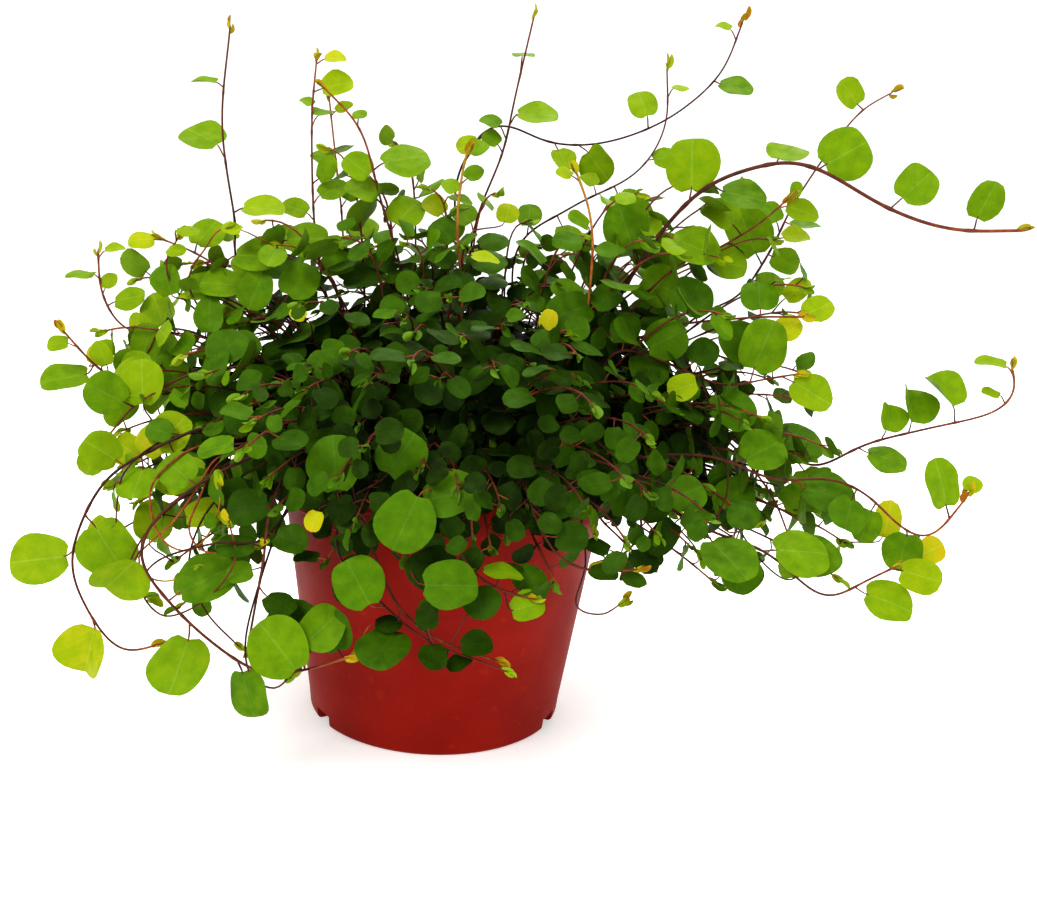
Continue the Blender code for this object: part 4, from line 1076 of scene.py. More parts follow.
def clearOfPot(point):
    v = vineRules
    radius = math.hypot(point.x, point.y)
    top = v["potHeight"] + v["potClearance"]
    if radius < 1e-6 or point.z >= top:
        return point
    bandFoot = v["potHeight"] - potSizes["bandHeight"]
    inside = wallRadius(min(point.z, bandFoot)) - potSizes["wall"] - v["potClearance"]
    outer = v["rimRadius"] if point.z >= bandFoot else wallRadius(point.z)
    outside = outer + v["potClearance"]
    out = Vector((point.x, point.y, 0)) / radius
    if inside < radius < outside:
        moves = [
            (top - point.z, Vector((point.x, point.y, top))),
            (outside - radius, out * outside + Vector((0, 0, point.z))),
            (radius - inside + v["outwardPull"], out * inside + Vector((0, 0, point.z))),
        ]
        point = min(moves, key=lambda move: move[0])[1]
    if math.hypot(point.x, point.y) <= inside + 0.01:
        point.z = max(point.z, v["mixTop"] + v["mixClearance"])
    return point


def settle(stems):
    clearance = vineRules["stemClearance"]
    for _ in range(vineRules["settlingRounds"]):
        places = [point.copy() for stem in stems for point in stem["line"]]
        owners = [stem["node"] for stem in stems for _ in stem["line"]]
        tree = KDTree(len(places))
        for index, point in enumerate(places):
            tree.insert(point, index)
        tree.balance()
        for stem in stems:
            moves = []
            for point in stem["line"]:
                move = Vector()
                for position, other, distance in tree.find_range(point, clearance):
                    if owners[other] != stem["node"] and distance > 1e-6:
                        move += (point - position) * (0.5 * (clearance / distance - 1))
                moves.append(move)
            moves = eased(moves)
            for k in range(2, len(stem["line"])):
                stem["line"][k] = clearOfPot(stem["line"][k] + moves[k])
    for stem in stems:
        for _ in range(vineRules["easingRounds"]):
            stem["line"] = stem["line"][:2] + eased(stem["line"])[2:-1] + stem["line"][-1:]


def eased(moves):
    padded = [moves[0], *moves, moves[-1]]
    return [0.25 * a + 0.5 * b + 0.25 * c for a, b, c in zip(padded, padded[1:], padded[2:])]


def plainer(line):
    if len(line) < 3:
        return line
    a, b = line[0], line[-1]
    offsets = [(point - intersect_point_line(point, a, b)[0]).length for point in line[1:-1]]
    worst = max(range(len(offsets)), key=offsets.__getitem__)
    if offsets[worst] < vineRules["tubeTolerance"]:
        return [a, b]
    return plainer(line[: worst + 2])[:-1] + plainer(line[worst + 1:])


def solidLine(stem):  # the solid's own plainer line, from which its leaves start
    up = Vector((0, 0, 1))
    return [stem["line"][0] + vineRules["rootNeck"] * up] + plainer(stem["line"][2:])


def frontPose(start, clock, tilt, draw):  # a tilt under zero turns the face sideways
    angle = math.radians(clock)
    turn = math.radians(abs(tilt))
    depth = draw.uniform(*vineRules["reachDepth"])
    reach = Vector((math.cos(angle), depth, math.sin(angle))).normalized()
    if tilt >= 0:
        normal = Vector((0, -math.cos(turn), math.sin(turn)))
    else:
        normal = Vector((-math.sin(turn) * math.cos(angle), -math.cos(turn), 0)).normalized()
    if start.y > vineRules["backDepth"]:
        normal.y = -normal.y
    return reach, normal


def anyWay(draw):
    return Vector([draw.uniform(-1, 1) for _ in range(3)])


def moundPose(start, side, tilt, axis, draw):
    m = moundRules
    out = Vector((
        start.x / m["reach"].x ** 2,
        start.y / m["reach"].y ** 2,
        (start.z - m["centreZ"]) / m["reach"].z ** 2,
    )).normalized()
    normal = (out + math.tan(math.radians(tilt)) * Vector((0, 0, m["tiltUp"]))).normalized()
    normal = (normal + m["faceSpread"] * anyWay(draw)).normalized()
    reach = side * axis.cross(normal).normalized() + draw.uniform(*m["reachAhead"]) * axis
    reach += draw.uniform(*m["reachUp"]) * normal
    return reach.normalized(), normal


def newLeaf(start, reach, normal, size, draw):
    v = vineRules
    leaf = {"start": start, "reach": reach, "normal": normal, "size": size}
    leaf["petiole"] = draw.uniform(*(v["largePetioles"] if size >= v["largeBlade"] else v["smallPetioles"]))
    draw.uniform(*v["waves"])  # only the solid has this wave, but it takes a draw
    leaf["curl"] = draw.uniform(*v["curls"])
    return leaf


def turnedLeaf(leaf, axis, angle):
    swing = Matrix.Rotation(angle, 3, axis)
    return {**leaf, "reach": swing @ leaf["reach"], "normal": swing @ leaf["normal"]}


def leafFrame(leaf):  # base of the blade, the way it runs and its side
    along = leaf["reach"] - leaf["reach"].dot(leaf["normal"]) * leaf["normal"]
    along.normalize()
    side = leaf["normal"].cross(along)
    foreshortened = 0.5 * leaf["size"] * (1 - along.dot(leaf["reach"]))
    base = leaf["start"] + leaf["reach"] * (leaf["petiole"] + foreshortened)
    return base, along, side


def tipOf(leaf):  # the upper of the two points at the tip of the leaf's solid
    base, along, _ = leafFrame(leaf)
    sink = leaf["size"] * leaf["curl"]
    return base + leaf["size"] * along + (vineRules["bladeHalf"] - sink) * leaf["normal"]


def turnCost(turn):
    return abs(turn[0]) + vineRules["twistCost"] * abs(turn[1])


def cornersOf(node):
    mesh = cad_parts[node].data
    tree = KDTree(len(mesh.vertices))
    for index, vertex in enumerate(mesh.vertices):
        tree.insert(vertex.co / mm, index)
    tree.balance()
    return tree


def solidLeaves(stems):  # each leaf in the turn that its solid took, found by the solid's own tip
    turns = sorted(((a, b) for a in vineRules["swings"] for b in vineRules["twists"]), key=turnCost)
    corners = {stem["node"]: cornersOf(stem["node"]) for stem in stems}
    leaves = []
    missed = 0
    for index, stem in enumerate(stems):
        line = solidLine(stem)
        for number, (share, angle, size, tilt) in enumerate(stem["blades"]):
            draw = random.Random(moundRules["seed"] + 100 * index + number)
            start = pointAt(line, min(share, vineRules["lastStart"]))
            axis = axisAt(line, share)
            if stem["ofMound"]:
                reach, normal = moundPose(start, angle, tilt, axis, draw)
            else:
                reach, normal = frontPose(start, angle, tilt, draw)
            leaf = newLeaf(start, reach, normal, size, draw)
            small = size < vineRules["smallestBlade"] and share <= vineRules["tipShare"]
            leaf.update(stem=index, share=share, small=small)
            found = None
            for swing, twist in turns:
                swung = turnedLeaf(leaf, axis, math.radians(swing))
                swung = turnedLeaf(swung, swung["normal"], math.radians(twist))
                if corners[stem["node"]].find(tipOf(swung))[2] < vineRules["found"]:
                    found = swung
                    break
            if found is None and not leaf["small"]:
                missed += 1
            leaves.append(found or leaf)
    print(len(leaves), "leaves of the solids,", missed, "not found")
    return leaves


# Leaf shapes, one unit long, with the midrib along +Y and the upper face to +Z
leafShapes = {
    "rows": 12,
    "smallRows": 8,
    "columns": (-1.0, -0.55, 0.0, 0.55, 1.0),
    "thickness": 0.024,
    "roundness": 0.72,
    "outlineWaves": (2.6, 2.1),  # how often the outline swings, and the two sides' shift
    "edgeWaves": (7.5, 2.2),
    "heart": 0.07,
    "heartPower": 5,
    "tipPower": 12,
    # width over length, cup, sink of the tip, waves at the edge, fold along the midrib,
    # reach of the tip's point, unevenness of the outline and where that starts
    "forms": (
        (1.02, 0.10, 0.00, 0.030, 0.08, 0.02, 0.06, 0.3),
        (0.99, -0.10, 0.04, 0.040, 0.05, -0.05, 0.05, 1.7),
        (1.06, 0.16, 0.08, 0.035, 0.14, 0.04, 0.08, 3.1),
        (0.92, 0.05, 0.12, 0.055, 0.24, 0.13, 0.07, 4.4),
    ),
    "smallForms": (
        (0.93, 0.10, 0.00, 0.030, 0.10, 0.03, 0.06, 2.3),
        (0.86, -0.12, 0.05, 0.040, 0.06, -0.02, 0.06, 0.9),
        (0.98, 0.18, 0.08, 0.030, 0.18, 0.05, 0.07, 5.0),
        (0.80, 0.05, 0.14, 0.045, 0.30, 0.12, 0.06, 3.7),
    ),
    "folded": (0.80, 0.30, 0.02, 0.010, 0.75, 0.10, 0.02, 0.0),
    "foldedOver": (1.18, -0.20, 0.10, 0.035, 1.60, -0.04, 0.07, 1.1),
}


def leafPoint(form, column, theta, lift):  # its place in the blade and in the blade's markings
    width, cup, sink, wave, fold, tipReach, uneven, phase = form
    s = leafShapes
    outlineWaves, outlineShift = s["outlineWaves"]
    edgeWaves, edgeShift = s["edgeWaves"]
    hand = math.copysign(1, column)
    y = (1 - math.cos(theta)) / 2
    half = 0.5 * width * math.sin(theta) ** s["roundness"]
    half *= 1 + uneven * math.sin(outlineWaves * theta + phase + outlineShift * hand)
    x = column * half
    back = s["heart"] * (1 - y) ** s["heartPower"] * abs(column)
    ahead = tipReach * y ** s["tipPower"]
    z = fold * 0.5 * abs(x) + cup * x * x * 2 - sink * y * y
    z += wave * math.sin(edgeWaves * y + edgeShift * hand) * column * column
    z += lift * s["thickness"] * (1 - column * column) * math.sin(theta) ** 0.5
    return (x, y - back + ahead, z), (0.5 + x, y)


def leafGrids(form, rows):  # the points, and their numbers in rows for the upper and the lower side
    columns = leafShapes["columns"]
    last = len(columns) - 1
    points = []

    def lay(column, theta, lift):
        points.append(leafPoint(form, column, theta, lift))
        return len(points) - 1

    base, tip = lay(0.0, 0.0, 0.0), lay(0.0, math.pi, 0.0)
    upper, lower = [[base] * len(columns)], [[base] * len(columns)]
    for row in range(1, rows):
        theta = math.pi * row / rows
        top = [lay(column, theta, 0.5) for column in columns]
        inner = [lay(column, theta, -0.5) for column in columns[1:last]]
        upper.append(top)
        lower.append([top[0], *inner, top[last]])
    upper.append([tip] * len(columns))
    lower.append([tip] * len(columns))
    return points, upper, lower


def gridFaces(grid, flipped):
    faces = []
    for low, high in zip(grid, grid[1:]):
        for k in range(len(low) - 1):
            corners = [low[k], low[k + 1], high[k + 1], high[k]]
            if flipped:
                corners = [corners[0], *corners[:0:-1]]
            faces.append([c for i, c in enumerate(corners) if c not in corners[:i]])
    return faces


def makeLeafShape(name, rows, form):
    points, upper, lower = leafGrids(form, rows)
    upperFaces = gridFaces(upper, False)
    mesh = bpy.data.meshes.new(name)
    mesh.from_pydata([place for place, _ in points], [], upperFaces + gridFaces(lower, True))
    places = mesh.uv_layers.new(name="leafPlace")
    for face in mesh.polygons:
        under = int(face.index >= len(upperFaces))
        for corner in face.loop_indices:
            u, v = points[mesh.loops[corner].vertex_index][1]
            places.data[corner].uv = (u + leafFinish["underSide"] * under, v)
    mesh.shade_smooth()
    rim = {corner for row in upper for corner in (row[0], row[-1])}
    for edge in mesh.edges:
        edge.use_edge_sharp = edge.vertices[0] in rim and edge.vertices[1] in rim
    mesh.materials.append(leafMaterial)
    return bpy.data.objects.new(name, mesh)


leafCollection = bpy.data.collections.new("leafForms")
leafForms = [(leafShapes["rows"], form) for form in leafShapes["forms"]]
leafForms += [(leafShapes["smallRows"], form) for form in leafShapes["smallForms"]]
firstSmallForm = len(leafShapes["forms"])
foldedForm = len(leafForms)
foldedOverForm = foldedForm + 1
leafForms += [(leafShapes["smallRows"], leafShapes["folded"])]
leafForms += [(leafShapes["rows"], leafShapes["foldedOver"])]
for number, (rows, form) in enumerate(leafForms):
    leafCollection.objects.link(makeLeafShape("leafForm%d" % number, rows, form))


def named(tree, name, kind):
    node = addNode(tree, "GeometryNodeInputNamedAttribute", {"Name": name}, data_type=kind)
    return node.outputs["Attribute"]


def makeShootTree():  # wiry tubes along the drawn lines, and a leaf on each leaf point
    tree, given, end = newTree("leafyShoot", (
        ("Stem Sides", "Int"), ("Leaf Forms", "Collection"),
        ("Stem Material", "Material"), ("Leaf Material", "Material"),
    ))
    isLeaf = named(tree, "isLeaf", "BOOLEAN")
    wires = addNode(tree, "GeometryNodeMeshToCurve", {"Mesh": given["Geometry"]})
    ring = addNode(tree, "GeometryNodeCurvePrimitiveCircle", {
        "Resolution": given["Stem Sides"], "Radius": 1.0,
    })
    tubes = addNode(tree, "GeometryNodeCurveToMesh", {
        "Curve": wires.outputs["Curve"], "Profile Curve": ring.outputs["Curve"],
        "Scale": named(tree, "girth", "FLOAT"), "Fill Caps": True,
    })
    smooth = addNode(tree, "GeometryNodeSetShadeSmooth", {"Geometry": tubes.outputs["Mesh"]})
    bark = painted(tree, smooth.outputs["Geometry"], given["Stem Material"])
    forms = addNode(tree, "GeometryNodeCollectionInfo", {
        "Collection": given["Leaf Forms"], "Separate Children": True, "Reset Children": True,
    })
    turn = addNode(tree, "FunctionNodeEulerToRotation", {"Euler": named(tree, "turn", "FLOAT_VECTOR")})
    leaves = addNode(tree, "GeometryNodeInstanceOnPoints", {
        "Points": given["Geometry"], "Selection": isLeaf,
        "Instance": forms.outputs["Instances"], "Pick Instance": True,
        "Instance Index": named(tree, "form", "INT"),
        "Rotation": turn.outputs["Rotation"], "Scale": named(tree, "size", "FLOAT_VECTOR"),
    })
    green = painted(tree, realized(tree, leaves), given["Leaf Material"])
    both = tree.nodes.new("GeometryNodeJoinGeometry")
    tree.links.new(green, both.inputs[0])
    tree.links.new(bark, both.inputs[0])
    tree.links.new(both.outputs[0], end.inputs["Geometry"])
    return tree


shootTree = makeShootTree()

shootValues = (  # what a point of a shoot carries: its name, kind, field and plain value
    ("girth", "FLOAT", "value", 0.0),
    ("tone", "FLOAT", "value", 0.0),
    ("isLeaf", "BOOLEAN", "value", False),
    ("turn", "FLOAT_VECTOR", "vector", (0, 0, 0)),
    ("size", "FLOAT_VECTOR", "vector", (1, 1, 1)),
    ("age", "FLOAT", "value", 0.0),
    ("form", "INT", "value", 0),
)


def newShoot():
    return {label: [] for label in ("points", "edges", *(row[0] for row in shootValues))}


def addPoint(shoot, place, **values):
    shoot["points"].append(place * mm)
    for label, _, _, plain in shootValues:
        shoot[label].append(values.get(label, plain))


def addTwig(shoot, line, girths, tones):
    first = len(shoot["points"])
    for point, girth, tone in zip(line, girths, tones):
        addPoint(shoot, point, girth=girth * mm, tone=tone)
    shoot["edges"] += [(k, k + 1) for k in range(first, first + len(line) - 1)]


def addBlade(shoot, base, along, normal, size, wide, age, form):
    turn = Matrix((along.cross(normal), along, normal)).transposed().to_euler()
    stretch = (size * wide * mm, size * mm, size * mm)
    addPoint(shoot, base, isLeaf=True, turn=tuple(turn), size=stretch, age=age, form=form)


def finishShoot(name, shoot, sides, node=None):
    mesh = bpy.data.meshes.new(name)
    mesh.from_pydata(shoot["points"], shoot["edges"], [])
    for label, kind, field, _ in shootValues:
        values = shoot[label]
        if field == "vector":
            values = [part for value in values for part in value]
        mesh.attributes.new(label, kind, "POINT").data.foreach_set(field, values)
    piece = newPiece(name, mesh)
    grow = piece.modifiers.new("leafyShoot", "NODES")
    grow.node_group = shootTree
    setInputs(grow, shootTree, {
        "Stem Sides": sides, "Leaf Forms": leafCollection,
        "Stem Material": stemMaterial, "Leaf Material": leafMaterial,
    })
    applied(piece)
    for label in ("girth", "isLeaf", "turn", "size", "form"):
        extra = piece.data.attributes.get(label)
        if extra:
            piece.data.attributes.remove(extra)
    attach(piece, "root")
    if node:
        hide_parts(node)
    return len(piece.data.polygons)


# How the shoots look close up
shootLook = {
    "foldedOver": {  # large leaves folded along the midrib: stem, share of it, and the turn
        ("runner_right_long", 0.66): 25, ("runner_right_long", 0.71): 32,
        ("runner_right_long", 0.81): 30, ("runner_left_fall", 0.85): 30,
        ("runner_left_sweep", 0.53): -30,
    },
    "stemSides": 6,
    "runner": {"girth": 0.46, "tone": 0.28},  # unless its own row says something else
    "mound": {"girth": 0.42, "tone": 0.22},
    "taper": (1.12, 0.40),  # the girth at the root as a share, and how much of that is lost at the tip
    "tipTone": 0.40,  # how much younger the wood is at a tip
    "rootDepth": 5,
    "nodeSwell": 0.35,
    "nodeReach": 1.3,
    "petioleGirth": 0.27,
    "petioleGrowth": (0.75, 0.02),  # share of that girth, and what each mm of leaf adds to it
    "petioleTaper": (1.25, 1.0, 1.0, 0.9, 0.55),
    "petioleBend": (0.45, 0.30, 0.06),
    "petioleTones": (0.34, 0.70),
    "buds": 3,
    "budSizes": (2.2, 4.6),
    "budLean": 0.45,
    "budStep": 1.2,
    "budWide": 0.8,
    "budAges": (0.0, 0.14),
    "budYouth": 0.15,  # how much younger a mound stem's buds are than its leaves
    "budSpread": 0.1,
    "ageCentre": Vector((0.0, 0.0, 100.0)),
    "ages": (1.00, 0.57, 50.0, 100.0),  # age and painted shade in the mound, its fall towards the outside, where that starts, over what length
    "ageAndLightStretch": (0.85, 1.2, 1.7),  # how much further off the depth, the left and the top count, so that leaves there are lighter: painted light
    "paintedSideLight": (  # distances to the right, and how much is added there to the fallen age: painted light, lighter leaves on the left side
        (-160, 0.05), (-125, 0.00), (-95, -0.18), (-50, -0.18), (0, 0.0), (90, 0.03), (200, 0.01),
    ),
    "paintedSideLightTop": (175.0, 50.0),  # the height where the painted side light has faded out, and over what length
    "ageSpread": 0.12,
    "ageLimits": (0.16, 0.98),
    "tipYouth": (0.88, 0.13),  # how far along a runner its leaves get younger, and by how much
    "youngest": 0.12,
    "runnerLeaf": 0.94,  # a runner leaf's length as a share of its solid's
    "tuftLeaf": 0.68,  # a mound leaf's length as a share of its larger-than-life solid's
    "smallLeaf": 12,  # below this length it has a small form, and up to the next one it is folded
    "foldedLeaf": 5,
    "curlStep": 0.04,
    "wide": (0.92, 1.08),
    "seed": 900,
}


def halved(line):  # the same smooth line with a point added in the middle of each step
    fine = []
    for a, b, c, d in neighbours(line):
        fine += [b.copy(), (9 * (b + c) - a - d) / 16]
    return fine + [line[-1].copy()]


# A leaf's age with painted shade and light: darkest deep in the mound, where shade falls, and lighter
# towards the outside, the top and the left side.
def leafAgeAndShade(place, draw):
    look = shootLook
    first, fall, start, length = look["ages"]
    back, left, above = look["ageAndLightStretch"]
    apart = place - look["ageCentre"]
    apart.y *= back
    if apart.x < 0:
        apart.x *= left
    if apart.z > 0:
        apart.z *= above
    out = min(1.0, max(0.0, (apart.length - start) / length))
    age = first - fall * out
    top, fade = look["paintedSideLightTop"]
    low = min(1.0, max(0.0, (top - place.z) / fade))
    for (x, here), (nextX, there) in zip(look["paintedSideLight"], look["paintedSideLight"][1:]):
        if x <= place.x < nextX:
            side = here + (there - here) * (place.x - x) / (nextX - x)
            age += out * side * (low if side < 0 else 1)
    youngest, oldest = look["ageLimits"]
    return min(oldest, max(youngest, age + draw.uniform(-look["ageSpread"], look["ageSpread"])))


def addPetiole(shoot, root, leaf, base, along, draw):
    look = shootLook
    length = (base - root).length
    leave, arrive, sink = look["petioleBend"]
    first, last = root + leave * length * leaf["reach"], base - arrive * length * along
    pieces = len(look["petioleTaper"]) - 1
    line = bent(root, first, last, base + sink * leaf["size"] * along, pieces)
    least, growth = look["petioleGrowth"]
    girth = look["petioleGirth"] * (least + growth * leaf["size"])
    tone = draw.uniform(*look["petioleTones"])
    addTwig(shoot, line, [girth * part for part in look["petioleTaper"]], [tone] * len(line))


def formOf(leaf):  # the more a leaf curls, the more its form bends
    look = shootLook
    if leaf["size"] <= look["foldedLeaf"]:
        return foldedForm
    form = min(firstSmallForm - 1, max(0, round(leaf["curl"] / look["curlStep"])))
    return form + firstSmallForm if leaf["size"] < look["smallLeaf"] else form


def addLeafOn(shoot, line, leaf, draw, younger=0.0):
    root = min(line, key=lambda point: (point - leaf["start"]).length_squared)
    base, along, _ = leafFrame(leaf)
    size = leaf["size"]
    form = leaf.get("form", formOf(leaf))
    age = max(shootLook["youngest"], leafAgeAndShade(base + 0.5 * size * along, draw) - younger)
    addPetiole(shoot, root, leaf, base, along, draw)
    addBlade(shoot, base, along, leaf["normal"], size, draw.uniform(*shootLook["wide"]), age, form)


def addStem(shoot, stem, girth, tone, fine=True):
    look = shootLook
    line = [stem["line"][0] - Vector((0, 0, look["rootDepth"]))] + stem["line"]
    step = vineRules["routeStep"]
    if fine:
        line = halved(line)
        step /= 2
    leafShares = [blade[0] for blade in stem["blades"]]
    most, fall = look["taper"]
    last = len(line) - 1
    girths, tones = [], []
    for k in range(last + 1):
        share = k / last
        near = min((abs(share - other) for other in leafShares), default=1.0)
        near *= last * step
        swell = 1 + look["nodeSwell"] * math.exp(-(near / look["nodeReach"]) ** 2)
        girths.append(girth * (most - fall * share) * swell)
        tones.append(min(1.0, tone + look["tipTone"] * share ** 2))
    girths[-1] *= 0.5
    addTwig(shoot, line, girths, tones)
    return line


def addTipBuds(shoot, line, draw, ages):  # the folded youngest leaves at a stem's end
    look = shootLook
    ahead = (line[-1] - line[-3]).normalized()
    for number in range(look["buds"]):
        reach = (ahead + look["budLean"] * anyWay(draw)).normalized()
        normal = reach.orthogonal().normalized()
        normal = Matrix.Rotation(draw.uniform(0, math.tau), 3, reach) @ normal
        size = draw.uniform(*look["budSizes"])
        start = line[-1] - number * look["budStep"] * ahead
        addBlade(shoot, start, reach, normal, size, look["budWide"], draw.uniform(*ages), foldedForm)


# A mound bud's age, with the painted shade of its place in the mound.
def moundBudAgesAndShades(tip, draw):
    age = leafAgeAndShade(tip, draw) - shootLook["budYouth"]
    return age - shootLook["budSpread"], age + shootLook["budSpread"]


stemPoints = []  # every drawn stem's points, from which the leaves that stand out may spring


def makeShoots():
    stems = runnerStems() + moundStems()
    settle(stems)
    leaves = solidLeaves(stems)
    shoots = {}
    youngFrom, youth = shootLook["tipYouth"]
    for index, stem in enumerate(stems):
        node = stem["node"]
        shoot = shoots.setdefault(node, newShoot())
        draw = random.Random(shootLook["seed"] + index)
        look = {**shootLook["runner"], **runners.get(node[len("runner_"):], shootLook["mound"])}
        line = addStem(shoot, stem, look["girth"], look["tone"])
        stemPoints.extend(line)
        for leaf in leaves:
            if leaf["stem"] != index:
                continue
            leaf["size"] *= shootLook["tuftLeaf" if stem["ofMound"] else "runnerLeaf"]
            younger = youth * max(0.0, leaf["share"] - youngFrom) / (1 - youngFrom)
            if stem["ofMound"]:
                younger = 0.0
            turn = shootLook["foldedOver"].get((node, leaf["share"]))
            if turn is not None:
                leaf["form"] = foldedOverForm
                swing = Matrix.Rotation(math.radians(turn), 3, leaf["reach"])
                leaf["normal"] = swing @ leaf["normal"]
            addLeafOn(shoot, line, leaf, draw, younger)
        ages = moundBudAgesAndShades(line[-1], draw)
        addTipBuds(shoot, line, draw, ages if stem["ofMound"] else shootLook["budAges"])
    faces = 0
    for node, shoot in shoots.items():
        words = node.split("_")
        name = words[0] + "".join(word.capitalize() for word in words[1:])
        faces += finishShoot(name, shoot, shootLook["stemSides"], node)
    print("shoots of the solids made,", faces, "faces")
    return leaves


solidBlades = makeShoots()

# The mound's many finer stems and smaller leaves, between the shoots of the solids
fill = {
    "stems": 260,
    "leaves": 12,
    "sizes": (6.2, 11.4),
    "depths": (0.50, 1.00),
    "middle": Vector((7.0, 0.0, 0.0)),
    "reach": Vector((116.0, 100.0, 72.0)),
    "girth": 0.36,
    "tone": 0.20,
    "bare": 0.22,
    "open": (0.1, 1.5),  # how far a leaf faces outwards and not only up
    "loose": 0.70,  # how far its face turns at random
    "showRoom": ((0, 0, 0), (0, -8, 2), (0, -16, 4)),  # kept free round and before a leaf that stands out
    "gaps": (  # places under the right side of the rim with bare stems only, and their reach
        ((62, -48, 88), 15), ((72, -20, 80), 15), ((83, -40, 78), 13),
        ((95, -5, 66), 15), ((79, 15, 67), 17), ((108, 30, 52), 17),
    ),
    "keepApart": 0.43,  # least distance of two leaves' middles, as a share of their mean length
    "halfWide": 0.45,  # half a leaf's width as a share of its length
    "pieces": 6,
    "sides": 5,
    "seed": 3,
    "tries": 6,  # how often a leaf is turned anew before it is left out
    "tilts": (0, 60),
    "faceCentre": (7, 25),  # the leaves turn their faces away from this place
    "faceSwing": (-1.1, 1.1),
    "leafSwing": (-0.9, 0.9),
    "potRoom": 1.0,
    "mixEdge": 2.0,
    "lowest": 3,
    "fallFrom": 6,  # where the rule's stems end, in degrees from straight up, and how much they fan out
    "fallOver": 98,
    "rootRing": (0.02, 1.0),
    "rootSwing": (-0.5, 0.5),
    "offPotRounds": 4,
}
sprayLook = {  # the leafy side stems outside the mound
    "rootRing": (0.35, 0.9),
    "smallest": 0.6,  # its smallest leaf as a share of its largest
    "bare": 0.35,
    "girth": 0.42,
    "tone": 0.32,
}
wireLook = {
    "step": 1.6,
    "girth": 0.40,
    "taper": 0.14,
    "tipTone": 0.35,
    "budAges": (0.10, 0.40),
}
showLook = {  # how the leaves that stand out hang on the nearest stem
    "sway": (-0.12, 0.12),
    "behind": 5,
    "under": 2,
}
sprayEnds = (  # a side stem's end, its number of leaves and the length of the largest
    ((62, -10, 187), 8, 15), ((80, 0, 192), 8, 16), ((98, 5, 188), 7, 16), ((110, 0, 175), 8, 17),
    ((120, -10, 160), 9, 14), ((127, 0, 150), 9, 13), ((120, -20, 132), 10, 14), ((132, 5, 118), 10, 15),
    ((115, -30, 100), 8, 17), ((128, -20, 92), 8, 17), ((108, -30, 72), 8, 16), ((95, -35, 62), 9, 13),
    ((140, -15, 84), 10, 15), ((118, 20, 140), 9, 13), ((100, 30, 165), 9, 13), ((90, -30, 150), 8, 17),
    ((76, -25, 168), 8, 17), ((85, 30, 178), 9, 13), ((105, -35, 118), 9, 14), ((70, -45, 70), 6, 11),
    ((-118, -20, 130), 9, 17), ((-114, 0, 147), 9, 13), ((-100, 10, 153), 9, 13), ((-122, 10, 104), 9, 17),
    ((-105, -35, 100), 9, 18), ((-110, -40, 64), 8, 17), ((-95, -50, 80), 8, 18), ((-85, -45, 60), 8, 17),
    ((-92, 0, 154), 8, 13), ((-70, 10, 158), 8, 14), ((-105, 30, 140), 9, 13), ((-124, 20, 122), 9, 13),
    ((-80, -55, 48), 8, 14), ((-65, -60, 75), 8, 17), ((-88, -30, 125), 8, 18), ((-112, -30, 116), 8, 17),
    ((-55, 5, 155), 8, 14), ((-100, -10, 90), 8, 17), ((-30, -73, 72), 8, 12), ((-5, -76, 75), 8, 11),
    ((20, -75, 80), 8, 11), ((40, -72, 70), 8, 11), ((132, -20, 107), 8, 15), ((-45, -73, 88), 9, 13),
    ((126, -14, 102), 8, 14), ((-20, 0, 168), 7, 12), ((5, 10, 165), 7, 12), ((25, 15, 176), 6, 12),
    ((45, 10, 166), 7, 12), ((-45, 25, 170), 8, 13), ((98, -14, 134), 8, 14), ((-92, -10, 143), 7, 15),
    ((-68, -8, 170), 6, 16), ((-50, 8, 196), 8, 16), ((-36, 0, 186), 7, 16), ((-28, 16, 200), 7, 15),
    ((-12, -10, 184), 7, 15), ((14, -14, 184), 5, 13), ((112, -12, 128), 8, 13), ((-106, -10, 128), 8, 14),
    ((-40, 40, 159), 10, 13), ((-20, 45, 161), 10, 13), ((0, 40, 163), 10, 12), ((20, 45, 163), 10, 13),
    ((40, 40, 165), 10, 13), ((60, 35, 169), 9, 14), ((78, 42, 168), 9, 14), ((-8, 22, 166), 10, 12),
    ((30, 24, 168), 10, 12), ((-34, 22, 164), 10, 13), ((-64, -8, 162), 8, 16), ((-40, -14, 166), 8, 15),
    ((-18, -18, 166), 8, 14), ((4, -18, 166), 8, 13), ((44, -16, 172), 8, 14), ((66, -20, 172), 8, 15),
    ((90, -16, 168), 8, 15), ((100, -35, 88), 9, 13), ((124, -30, 83), 8, 14), ((112, -25, 110), 9, 14),
    ((136, -34, 79), 8, 15), ((120, 10, 84), 9, 14), ((96, 0, 70), 9, 13), ((122, -5, 100), 9, 13),
    ((104, 15, 124), 9, 12), ((111, -25, 84), 8, 14), ((134, -40, 68), 7, 14), ((-111, -30, 80), 7, 15),
    ((-80, -12, 138), 7, 14),
)
